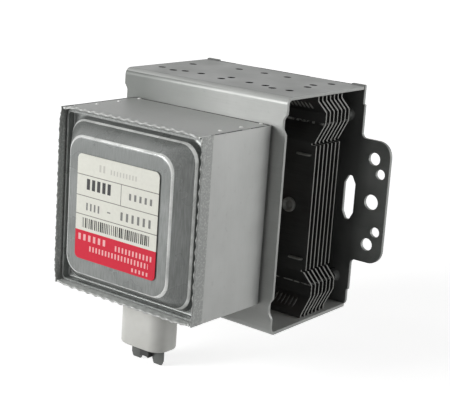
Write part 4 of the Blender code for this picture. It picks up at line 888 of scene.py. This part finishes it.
def finBlank(sizes):
    start, half, bend = sizes["wingStart"], sizes["half"], sizes["bend"]
    rise, back = sizes["rise"], sizes["back"]
    upper = [
        (0, start, bend), (rise, sizes["crestLow"], bend), (rise, sizes["crestHigh"], bend),
        (back, sizes["backAt"], bend), (back, half, 0),
    ]
    lower = [(y, -z, radius) for y, z, radius in reversed(upper)]
    path = softPath(lower + upper, 4, closed=False)
    side, middle = sizes["halfWide"], sizes["middleHalf"]
    piece = holdForm("fin", stripForm(path, side + 0.4))
    thicken(piece, sizes["sheet"], 0.0)
    slit = side - sizes["slitDeep"]
    upperSide = mirrored([
        (side, middle, sizes["middleCorner"]), (slit, middle, 0), (slit, start, 0),
        (sizes["wingHalf"], start, sizes["wingCorner"]), (sizes["wingHalf"], half + 1, 0),
    ])
    outline = upperSide + [(-x, -z, radius) for x, z, radius in upperSide]
    deep = rise + 2
    shape(piece, outlineForm([softPath(outline, 3)], -deep, deep), "INTERSECT")
    face = -sizes["sheet"] / 2
    bore, rim = sizes["bore"], face - sizes["collarReach"]
    outer, foot, ease = bore + sizes["collarWall"], sizes["collarFoot"], sizes["collarEase"]
    spare = bore - 0.5  # bored out at the end
    collar = [
        (spare, 0), (outer + foot, 0), (outer + foot, face), (outer + ease, face - ease),
        (outer, face - foot), (outer, rim), (spare, rim),
    ]
    shape(piece, turnedForm(collar, 96), "UNION")
    for across in (-1, 1):
        boss = turnedForm([(radius, y + face) for radius, y in bossProfile], 36)
        place = (across * sizes["bossAt"] * mm, 0, 0)
        bmesh.ops.translate(boss, vec=place, verts=boss.verts)
        shape(piece, boss, "UNION")
    x, z = sizes["tabAt"]
    for across in (-1, 1):
        for level in (-1, 1):
            shape(piece, tabForm(sizes, across * x, level * z, face), "UNION")
    tool = bmesh.new()
    addCone(tool, (0, -deep, 0), (bore, bore), 2 * deep, 96)
    shape(piece, tool)
    tidyMesh(piece)
    return piece


def pressRibs(piece, sizes):
    # short ribs side by side on the sloping part behind each tip
    rise, back = sizes["rise"], sizes["back"]
    crest, end = sizes["crestHigh"], sizes["backAt"]
    slope = Vector((0, back - rise, end - crest)).normalized()
    middle = ((rise + back) / 2, (crest + end) / 2)
    wide, long = sizes["ribWide"] * mm, sizes["ribLong"] * mm
    ribs = bmesh.new()
    for level in (-1, 1):
        along = Vector((0, slope.y, level * slope.z))
        outward = Vector((0, -abs(slope.z), -level * abs(slope.y))).normalized()
        axes = Matrix((Vector((1, 0, 0)), along, outward)).transposed().to_4x4()
        for side in (-1, 1):
            for step in range(sizes["ribCount"]):
                x = sizes["ribStart"] + sizes["ribPitch"] * step
                spot = Vector((side * x, middle[0], level * middle[1]))
                spot += outward * sizes["sheet"] / 2
                grown = bmesh.ops.create_uvsphere(ribs, u_segments=14, v_segments=8, radius=1.0)
                size = Matrix.Diagonal((wide, long, wide, 1))
                place = Matrix.Translation(spot * mm) @ axes @ size
                bmesh.ops.transform(ribs, matrix=place, verts=grown["verts"])
    shape(piece, ribs, "UNION")


def isUnshaded(sizes, y, height, normal):
    # cut edges, tabs and ribs keep the plain edge tone; the faces of the sheet get the painted
    # shade
    if abs(normal.y) < sizes["edgeTurn"]:
        return True
    if height < sizes["middleHalf"]:
        return y < -sizes["sheet"] / 2 - sizes["proud"]
    if height < sizes["crestHigh"] or height > sizes["backAt"]:
        return False
    share = (height - sizes["crestHigh"]) / (sizes["backAt"] - sizes["crestHigh"])
    onSheet = sizes["rise"] + (sizes["back"] - sizes["rise"]) * share
    return y < onSheet - sizes["sheet"]


def makeFins(sizes):
    blank = finBlank(sizes)
    for index in range(sizes["count"]):
        number = str(index + 1)
        piece = bpy.data.objects.new("coolingFin" + number, blank.data.copy())
        bpy.context.scene.collection.objects.link(piece)
        if index == 0:
            pressRibs(piece, sizes)
        y = sizes["lastY"] - (sizes["count"] - 1 - index) * sizes["pitch"]
        piece.data.transform(Matrix.Translation((0, y * mm, 0)))
        sagBottom(piece)
        dress(piece, [finShadeFace, finEdge], ["cooling_fin_" + number])
        paint(piece, 1, lambda spot, normal: isUnshaded(sizes, spot.y - y, abs(spot.z), normal))
    bpy.data.objects.remove(blank, do_unlink=True)


makeFins(finSizes)
print("fins made")


# filter box: a bent shell, with a top and a bottom sheet, crimped along the lip

boxLow, boxHigh = span("filter_box")
boxSizes = {
    "half": boxHigh[0], "high": boxHigh[2], "lipY": boxLow[1], "backY": boxHigh[1],
    "wall": 0.6, "sheet": 0.8, "corner": 1.2, "columns": 208, "seam": 0.55, "edge": 0.10,
    "edgeAngle": 60, "stemHole": 10.2, "crimpDeep": 6.0, "crimpSunk": 0.12, "crimpEase": 0.5,
    "pitch": 4.25, "waveHigh": 0.5, "flareDeep": 2.6, "flareFade": 6.0, "scallop": 0.2,
    "flares": {"side": 0.7, "top": 1.0, "bottom": 0.5},
    # rows of the mesh: behind the lip, and further back at fixed y
    "rows": (0, 0.2, 0.5, 0.9, 1.4, 2.0, 2.6, 3.4, 4.6, 5.5, 5.75, 6.0, 6.4),
    "rowsAt": (-80.0, -68.0),
    "weldsAt": [(30.0, -78.7), (30.0, -66.6), (30.0, -54.9)], "weldRadius": 1.2,
    "weldTaper": 0.4, "weldHigh": 0.35, "weldSunk": 0.3, "weldLoose": 0.2,
    "socketHalf": (11.4, 7.4), "socketCorner": 6.3, "socketY": -76.3,
}


def lipReach(sizes, y, along, half, flare):
    # how far a wall stands out near the lip: it is pressed in, then flares in waves
    behind = y - sizes["lipY"]
    pressed = min(max((sizes["crimpDeep"] - behind) / sizes["crimpEase"], 0.0), 1.0)
    near = max(0.0, 1 - behind / sizes["flareDeep"])
    fade = min(1.0, (half - abs(along)) / sizes["flareFade"])
    wave = sizes["waveHigh"] / 2 * math.cos(2 * math.pi * along / sizes["pitch"])
    return near * near * fade * (flare + wave) - sizes["crimpSunk"] * pressed


def lipSlip(sizes, y, along):
    # the front edge is scalloped a little, in step with the waves
    if y > sizes["lipY"] + hair:
        return 0.0
    return sizes["scallop"] * (0.5 - 0.5 * math.cos(2 * math.pi * along / sizes["pitch"]))


def makeBoxShell(sizes):
    lip, back, half, high = sizes["lipY"], sizes["backY"], sizes["half"], sizes["high"]
    columns, flare = sizes["columns"], sizes["flares"]["side"]
    corners = [(half, lip, 0), (half, back, sizes["corner"]), (0, back, 0)]
    bend = softPath(corners, 6, closed=False)
    right = [(half, lip + step) for step in sizes["rows"]] + bend[1:]
    path = right + [(-x, y) for x, y in reversed(right[:-1])]
    rows = []
    for x, y in path:
        row = []
        for column in range(columns + 1):
            z = high * (2 * column / columns - 1)
            out = lipReach(sizes, y, z, high, flare) if abs(x) > half - hair else 0.0
            row.append((x + math.copysign(out, x), y + lipSlip(sizes, y, z), z))
        rows.append(row)
    piece = holdForm("filterBoxShell", gridForm(rows))
    flat = piece.data.polygons[columns // 2]
    thicken(piece, sizes["wall"], -1.0 if flat.normal.x > 0 else 1.0)
    tool = bmesh.new()
    addCone(tool, (0, back - 3, 0), (sizes["stemHole"],) * 2, 5, 64)
    shape(piece, tool)
    softenEdges(piece, sizes["edge"], angle=sizes["edgeAngle"])
    dress(piece, [boxFinish], ["filter_box"], crease=40, level=True)


def makeBoxPanel(sizes, name, level, flare):
    # the top or bottom sheet; its edge leaves a seam beside the shell
    lip, back = sizes["lipY"], sizes["backY"] - sizes["wall"] - sizes["seam"]
    half, high = sizes["half"] - sizes["wall"] - sizes["seam"], sizes["high"]
    columns = sizes["columns"]
    rows = []
    for y in (*(lip + step for step in sizes["rows"]), *sizes["rowsAt"], back):
        row = []
        for column in range(columns + 1):
            x = half * (2 * column / columns - 1)
            z = level * (high + lipReach(sizes, y, x, half, flare))
            row.append((x, y + lipSlip(sizes, y, x), z))
        rows.append(row)
    piece = holdForm(name, gridForm(rows))
    outward = -1.0 if piece.data.polygons[0].normal.z * level > 0 else 1.0
    thicken(piece, sizes["sheet"], outward)
    tops = [(side * x, y) for x, y in sizes["weldsAt"] for side in (-1, 1)]
    radius, sunk = sizes["weldRadius"], sizes["weldSunk"]
    radii = (radius, radius * sizes["weldTaper"])
    welds = bmesh.new()
    for side in (-1, 1):
        for x, y in sizes["weldsAt"]:
            foot = (side * x, y, level * (high - sunk))
            addCone(welds, foot, radii, level * (sunk + sizes["weldHigh"]), 24, upright=True)
    shape(piece, welds, "UNION")
    if level < 0:
        socket = roundRect(*sizes["socketHalf"], sizes["socketCorner"], 10)
        socket = [(x, y + sizes["socketY"]) for x, y in socket]
        shape(piece, outlineForm([socket], -high - 2, -high + 3, upright=True))
    softenEdges(piece, sizes["edge"], angle=sizes["edgeAngle"])
    dress(piece, [boxFinish, weldHighlightFinish], crease=40, level=True)

    def onWeld(spot, normal):
        near = min(math.dist(spot[:2], top) for top in tops) < radius + sizes["weldLoose"]
        return near and abs(spot.z) > high + 2 * hair

    # painted highlight on the weld dots
    paint(piece, 1, onWeld)


makeBoxShell(boxSizes)
makeBoxPanel(boxSizes, "filterBoxTop", 1, boxSizes["flares"]["top"])
makeBoxPanel(boxSizes, "filterBoxBottom", -1, boxSizes["flares"]["bottom"])
print("filter box made")


# filter cover: a drawn pan with two stepped edges, and its label

coverLow, coverHigh = span("filter_cover")
coverSizes = {
    "halfWide": coverHigh[0], "halfHigh": coverHigh[2], "panelY": coverLow[1], "sheet": 0.8,
    "rimY": -91.1, "gutterY": -88.0, "wallY": -90.4, "gutterWide": 1.1, "gutterBends": (0.8, 0.7),
    "wallIn": 1.6, "sideRun": 6.2, "endRun": 5.0, "flat": 5.0, "rimCorner": 1.1,
    "stepCorner": 6.6, "edge": 1.5,
}
labelLow, labelHigh = span("data_label")
labelSizes = {
    "halfWide": labelHigh[0], "halfHigh": labelHigh[2], "backY": labelHigh[1],
    "frontY": labelLow[1], "corner": 2.0, "edge": 0.04,
}


def makeCover(sizes):
    sheet, gutter, edge = sizes["sheet"], sizes["gutterY"], sizes["edge"]
    wallIn, panelIn = sizes["wallIn"], sizes["wallIn"] + sizes["sideRun"]
    first, second = sizes["gutterBends"]
    section = [
        (0, sizes["rimY"], 0), (0, gutter, first), (sizes["gutterWide"], gutter, second),
        (wallIn, sizes["wallY"], edge), (panelIn, sizes["panelY"], edge),
        (panelIn + sizes["flat"], sizes["panelY"], 0),
    ]
    rings = []
    for inset, y in softPath(section, 6, closed=False):
        # past the wall, the ends step in less than the sides
        past = max(0.0, inset - wallIn)
        upward = inset - past + past * sizes["endRun"] / sizes["sideRun"]
        grow = min(inset / sizes["gutterWide"], 1.0)
        corner = sizes["rimCorner"] + (sizes["stepCorner"] - sizes["rimCorner"]) * grow
        halfWide = sizes["halfWide"] - sheet - inset
        halfHigh = sizes["halfHigh"] - sheet - upward
        rings.append([(x, y, z) for x, z in roundRect(halfWide, halfHigh, corner, 10)])
    piece = holdForm("filterCover", loftForm(rings, closeEnd=True))
    thicken(piece, sheet, -1.0)
    dress(piece, [coverFinish], ["filter_cover"])


def makeLabel(sizes):
    outline = roundRect(sizes["halfWide"], sizes["halfHigh"], sizes["corner"], 8)
    piece = holdForm("dataLabel", outlineForm([outline], sizes["frontY"], sizes["backY"]))
    softenEdges(piece, sizes["edge"], 1)
    dress(piece, [labelFinish], ["data_label"])


makeCover(coverSizes)
makeLabel(labelSizes)
print("cover and label made")


# connector: shroud, tabs and the insulator between them

connectorSizes = {
    "y": -76.3, "half": (11.1, 7.1), "corner": 6.0, "wall": 1.6, "top": -33.55, "rim": -54.45,
    "floor": -40.35, "rimRound": 0.9, "rimChamfer": 0.2, "slotGap": 0.3,
    "tabAt": 5.3, "tabHalf": 2.7, "tabSheet": 0.8, "tabTop": -22.55, "tabTip": -61.25,
    "tabShoulder": -59.4, "tipIn": 0.8, "tabCorners": (0.4, 0.5, 0.2), "tabEdge": 0.15,
    "insulatorHalf": (2.3, 2.4), "insulatorFoot": -59.45, "insulatorCorners": (0.2, 0.4, 0.8),
    "insulatorGap": 0.3, "insulatorEdge": 0.25, "arch": 0.6,
}


def makeShroud(sizes):
    halfX, halfY = sizes["half"]
    corner, wall, rim, bend = sizes["corner"], sizes["wall"], sizes["rim"], sizes["rimRound"]
    chamfer, middle = sizes["rimChamfer"], sizes["y"]
    section = [(0, sizes["top"])]
    for step in range(5):
        turn = math.pi / 2 * step / 4
        section.append((bend - bend * math.cos(turn), rim + bend - bend * math.sin(turn)))
    section += [(wall - chamfer, rim), (wall, rim + chamfer), (wall, sizes["floor"])]
    rings = []
    for inset, z in section:
        outline = roundRect(halfX - inset, halfY - inset, corner - min(inset, wall), 10)
        rings.append([(x, y + middle, z) for x, y in outline])
    form = loftForm(rings, closeStart=True, closeEnd=True)
    bmesh.ops.recalc_face_normals(form, faces=form.faces)
    piece = holdForm("connectorShroud", form)
    tools = bmesh.new()
    reachX = sizes["tabHalf"] + sizes["slotGap"]
    reachY = sizes["tabSheet"] / 2 + sizes["slotGap"]
    for side in (-1, 1):
        x = side * sizes["tabAt"]
        low = (x - reachX, middle - reachY, sizes["floor"] - 1)
        addBlock(tools, low, (x + reachX, middle + reachY, sizes["top"] + 1))
    shape(piece, tools)
    dress(piece, [shroudFinish], ["connector_shroud"])


def makeTab(sizes, name, node, side):
    half, tip, sheet = sizes["tabHalf"], sizes["tabHalf"] - sizes["tipIn"], sizes["tabSheet"] / 2
    atTip, atShoulder, atTop = sizes["tabCorners"]
    blade = mirrored([
        (tip, sizes["tabTip"], atTip), (half, sizes["tabShoulder"], atShoulder),
        (half, sizes["tabTop"], atTop),
    ])
    outline = [(x + side * sizes["tabAt"], z) for x, z in softPath(blade, 4)]
    piece = holdForm(name, outlineForm([outline], sizes["y"] - sheet, sizes["y"] + sheet))
    softenEdges(piece, sizes["tabEdge"])
    dress(piece, [tabFinish], [node])


def makeInsulator(sizes):
    halfX, halfY = sizes["insulatorHalf"]
    foot, top = sizes["insulatorFoot"], sizes["floor"] - sizes["insulatorGap"]
    atTop, atFoot, atArch = sizes["insulatorCorners"]
    loop = softPath(mirrored([
        (-halfX, top, atTop), (-halfX, foot, atFoot), (-halfX / 2, foot + sizes["arch"], atArch),
    ]), 4)
    form = outlineForm([loop], sizes["y"] - halfY, sizes["y"] + halfY)
    piece = holdForm("terminalInsulator", form)
    softenEdges(piece, sizes["insulatorEdge"], 3)
    dress(piece, [insulatorFinish], ["terminal_insulator"])


makeShroud(connectorSizes)
makeTab(connectorSizes, "terminalLeft", "terminal_left", -1)
makeTab(connectorSizes, "terminalRight", "terminal_right", 1)
makeInsulator(connectorSizes)
print("connector made")


# the tube: turned parts as (radius, y, corner radius), and the woven gasket

tubeParts = [
    ("magnetInput", "magnet_input", "ferrite", ferriteFinish, [
        (24.5, -51.1, 0.7), (24.5, -39.1, 0.7), (10.6, -39.1, 0.3), (10.6, -51.1, 0.3)]),
    ("magnetOutput", "magnet_output", "ferrite", ferriteFinish, [
        (24.5, -13.9, 0.7), (24.5, -1.9, 0.7), (10.6, -1.9, 0.3), (10.6, -13.9, 0.3)]),
    ("sealSleeveOutput", "seal_sleeve_output", "zinc_steel", zincFinish, [
        (17.0, -14.5, 0), (17.0, -15.3, 0), (8.7, -15.3, 0.4), (8.7, 1.6, 0.8), (5.1, 3.0, 0),
        (5.1, 3.6, 0), (6.8, 3.6, 0.8), (9.3, 2.2, 0.9), (9.3, -14.5, 0.4)]),
    ("antennaCeramic", "antenna_ceramic", "ceramic", ceramicFinish, [
        (6.8, 3.9, 0.3), (6.8, 12.4, 0.3), (5.1, 12.4, 0.2), (5.1, 3.9, 0.2)]),
    ("antennaCap", "antenna_cap", "zinc_steel", zincFinish, [
        (0, 19.8, 0), (7.6, 19.8, 1.6), (7.6, 9.9, 0.15), (7.1, 9.9, 0.15), (7.1, 19.3, 1.2),
        (0, 19.3, 0)]),
    ("gasketSeat", "gasket_seat", "zinc_steel", zincFinish, [
        (16.1, 0.3, 0.1), (16.1, 1.9, 0.25), (15.5, 1.9, 0.25), (15.5, 0.3, 0.1)]),
]
gasketSizes = {
    "inner": 9.6, "outer": 15.2, "low": 0.3, "high": 5.1, "core": 0.35, "foot": 0.4,
    "corner": 1.6, "wire": 0.16, "strands": 64, "points": 26, "sides": 5,
    # the share of a turn that a strand leans, and a direction that no strand follows
    "lean": 0.07, "beside": (0.31, 0.87, 0.38),
}


def makeTube(parts):
    for name, node, slotName, finish, profile in parts:
        closed = profile[0][0] > 0
        form = turnedForm(softPath(profile, 5, closed), 112)
        dress(holdForm(name, form), [finish], [node])


def gasketSection(sizes, inset):
    # the ring's outline as (radius, y), rounded on its outer face
    inner, outer = sizes["inner"] + inset, sizes["outer"] - inset
    low, high = sizes["low"] + inset, sizes["high"] - inset
    foot, corner = sizes["foot"], sizes["corner"]
    return softPath([
        (outer, low, foot), (outer, high, corner), (inner, high, corner), (inner, low, foot),
    ])


def addWire(form, spine, sizes):
    # a thin round wire along the points of a spine, closed at both ends
    last = len(spine) - 1
    rings = []
    for index, spot in enumerate(spine):
        ahead = (spine[min(index + 1, last)] - spine[max(index - 1, 0)]).normalized()
        side = ahead.cross(Vector(sizes["beside"])).normalized()
        other = ahead.cross(side)
        ring = []
        for corner in range(sizes["sides"]):
            angle = 2 * math.pi * corner / sizes["sides"]
            offset = (side * math.cos(angle) + other * math.sin(angle)) * sizes["wire"]
            ring.append(form.verts.new((spot + offset) * mm))
        rings.append(ring)
    for first, second in zip(rings, rings[1:]):
        for index, corner in enumerate(first):
            form.faces.new((first[index - 1], corner, second[index], second[index - 1]))
    form.faces.new(rings[0][::-1])
    form.faces.new(rings[-1])


def makeGasket(sizes):
    core = turnedForm(gasketSection(sizes, sizes["core"]), 96)
    dress(holdForm("gasketCore", core), [strandFinish], ["rf_gasket"])
    section = gasketSection(sizes, sizes["wire"])
    lengths = [0.0]
    for first, second in zip(section, section[1:] + section[:1]):
        lengths.append(lengths[-1] + math.dist(first, second))

    def pointOn(share):
        # the point that is a share of the way round the section
        goal = share * lengths[-1]
        for index, first in enumerate(section):
            if goal <= lengths[index + 1]:
                part = (goal - lengths[index]) / (lengths[index + 1] - lengths[index])
                second = section[(index + 1) % len(section)]
                return [a + (b - a) * part for a, b in zip(first, second)]

    form = bmesh.new()
    for direction in (-1, 1):
        for strand in range(sizes["strands"]):
            start = 2 * math.pi * strand / sizes["strands"]
            spine = []
            for step in range(sizes["points"]):
                share = step / sizes["points"]
                radius, y = pointOn(share)
                turn = start + direction * sizes["lean"] * share * 2 * math.pi
                spine.append(Vector((radius * math.cos(turn), y, radius * math.sin(turn))))
            addWire(form, spine, sizes)
    bmesh.ops.recalc_face_normals(form, faces=form.faces)
    dress(holdForm("gasketStrands", form), [strandFinish], crease=60)


makeTube(tubeParts)
makeGasket(gasketSizes)
print("tube made")


# CAD nodes that stay as they are, inside the tube and the filter box

ringNodes = ["strap_ring_" + end + which
             for end in ("input", "output") for which in ("_inner", "_outer")]
vaneNodes = ["anode_vane_" + str(index + 1) for index in range(10)]
keptNodes = [
    (copperFinish, ["anode_cylinder", "antenna_lead", "exhaust_tube", "choke_coil_left",
                    "choke_coil_right", *ringNodes, *vaneNodes]),
    (zincFinish, ["pole_piece_input", "pole_piece_output", "seal_sleeve_input",
                  "stem_lug_left", "stem_lug_right", "capacitor_flange"]),
    (refractoryFinish, ["cathode_filament", "cathode_centre_lead", "cathode_side_lead",
                        "end_hat_input", "end_hat_output"]),
    (ceramicFinish, ["stem_ceramic", "lead_spacer"]),
    (ferriteFinish, ["choke_core_left", "choke_core_right"]),
    (resinFinish, ["capacitor_body"]),
]
roundNames = ("cathode", "antenna", "choke", "exhaust", "anode_cyl")
for finish, names in keptNodes:
    for name in names:
        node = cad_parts[name]
        node.data.materials.clear()
        node.data.materials.append(finish)
        if name.startswith(roundNames):
            node.data.shade_smooth()
            node.data.set_sharp_from_angle(angle=math.radians(40))
print("inner nodes dressed")


# floor, light and camera

floorSizes = {
    "z": -61.6, "half": 3000.0, "colour": (0.64, 0.64, 0.64), "rough": 0.9,
    # the floor glows to white for the camera, from near the part to far from it, in metres
    "near": 0.15, "far": 0.60, "glow": (0.76, 1.0),
}
worldLight = 0.06


def seenDirectly(tree):
    # 1 for the camera, mirrors and glass, and 0 for the light that falls on the part
    paths = addNode(tree, "ShaderNodeLightPath").outputs
    return anyOf(tree, paths["Is Camera Ray"], paths["Is Glossy Ray"],
                 paths["Is Transmission Ray"])


def floorFinish(sizes):
    finish, tree, shader = newFinish("paleFloor")
    shader.inputs["Base Color"].default_value = (*sizes["colour"], 1)
    shader.inputs["Roughness"].default_value = sizes["rough"]
    reach = addNode(tree, "ShaderNodeVectorMath", {0: whereOn(tree)}, operation="LENGTH")
    light = ramp(tree, reach.outputs["Value"], sizes["near"], sizes["far"], *sizes["glow"])
    glow = addNode(tree, "ShaderNodeEmission", {"Strength": light}).outputs[0]
    plain = shader.outputs[0]
    lit = addNode(tree, "ShaderNodeAddShader", {0: plain, 1: glow}).outputs[0]
    pick = addNode(tree, "ShaderNodeMixShader", {0: seenDirectly(tree), 1: plain, 2: lit})
    tree.links.new(pick.outputs[0], tree.nodes["Material Output"].inputs["Surface"])
    return finish


def makeStage(sizes):
    form = bmesh.new()
    half, z = sizes["half"] * mm, sizes["z"] * mm
    signs = ((-1, -1), (1, -1), (1, 1), (-1, 1))
    form.faces.new([form.verts.new((sx * half, sy * half, z)) for sx, sy in signs])
    floor = holdForm("floor", form)
    floor.data.materials.append(floorFinish(sizes))
    world = bpy.data.worlds.new("studio")
    bpy.context.scene.world = world
    world.use_nodes = True
    tree = world.node_tree
    soft = tree.nodes["Background"]
    soft.inputs["Color"].default_value = (1, 1, 1, 1)
    strength = ramp(tree, seenDirectly(tree), 0.0, 1.0, worldLight, 1.0)
    tree.links.new(strength, soft.inputs["Strength"])


lampSizes = {
    "aim": (0, -50, 0),
    # name: direction from the part, distance, side, and light on a face turned to the lamp
    "lamps": {
        "keyLamp": ((-0.47, -0.84, 0.26), 900, 380, 0.84),
        "fillLamp": ((0.80, 0.50, 0.16), 800, 460, 0.42),
        "edgeLamp": ((-0.59, -0.25, 0.77), 800, 120, 0.04),
        "backLamp": ((0.45, 0.88, 0.10), 900, 420, 0.16),
    },
}


def makeLamps(sizes):
    for name, (towards, distance, side, light) in sizes["lamps"].items():
        lamp = bpy.data.lights.new(name, "AREA")
        lamp.size = side * mm
        lamp.energy = light * (math.pi * distance * mm) ** 2
        holder = bpy.data.objects.new(name, lamp)
        bpy.context.scene.collection.objects.link(holder)
        away = Vector(towards).normalized()
        holder.location = (Vector(sizes["aim"]) + away * distance) * mm
        holder.rotation_mode = "QUATERNION"
        holder.rotation_quaternion = away.to_track_quat("Z", "Y")


# the photograph's viewpoint in metres, solved from the corners of the part
cameraSizes = {
    "lens": 101.04, "sensor": 36, "near": 0.01, "far": 50,
    "place": (0.2997225, -0.4227361, 0.1184495),
    "right": (0.7798545, 0.6224948, 0.0657820), "up": (-0.2046101, 0.1541856, 0.9666238),
    "back": (0.5915756, -0.7672856, 0.2476110),
}


def makeCamera(sizes):
    camera = bpy.data.cameras.new("photoCamera")
    camera.lens = sizes["lens"]
    camera.sensor_width = sizes["sensor"]
    camera.clip_start = sizes["near"]
    camera.clip_end = sizes["far"]
    holder = bpy.data.objects.new("photoCamera", camera)
    bpy.context.scene.collection.objects.link(holder)
    turn = Matrix((sizes["right"], sizes["up"], sizes["back"])).transposed().to_4x4()
    turn.translation = sizes["place"]
    holder.matrix_world = turn
    bpy.context.scene.camera = holder


makeStage(floorSizes)
makeLamps(lampSizes)
makeCamera(cameraSizes)
bpy.context.scene.view_settings.view_transform = "Standard"
print("stage made")
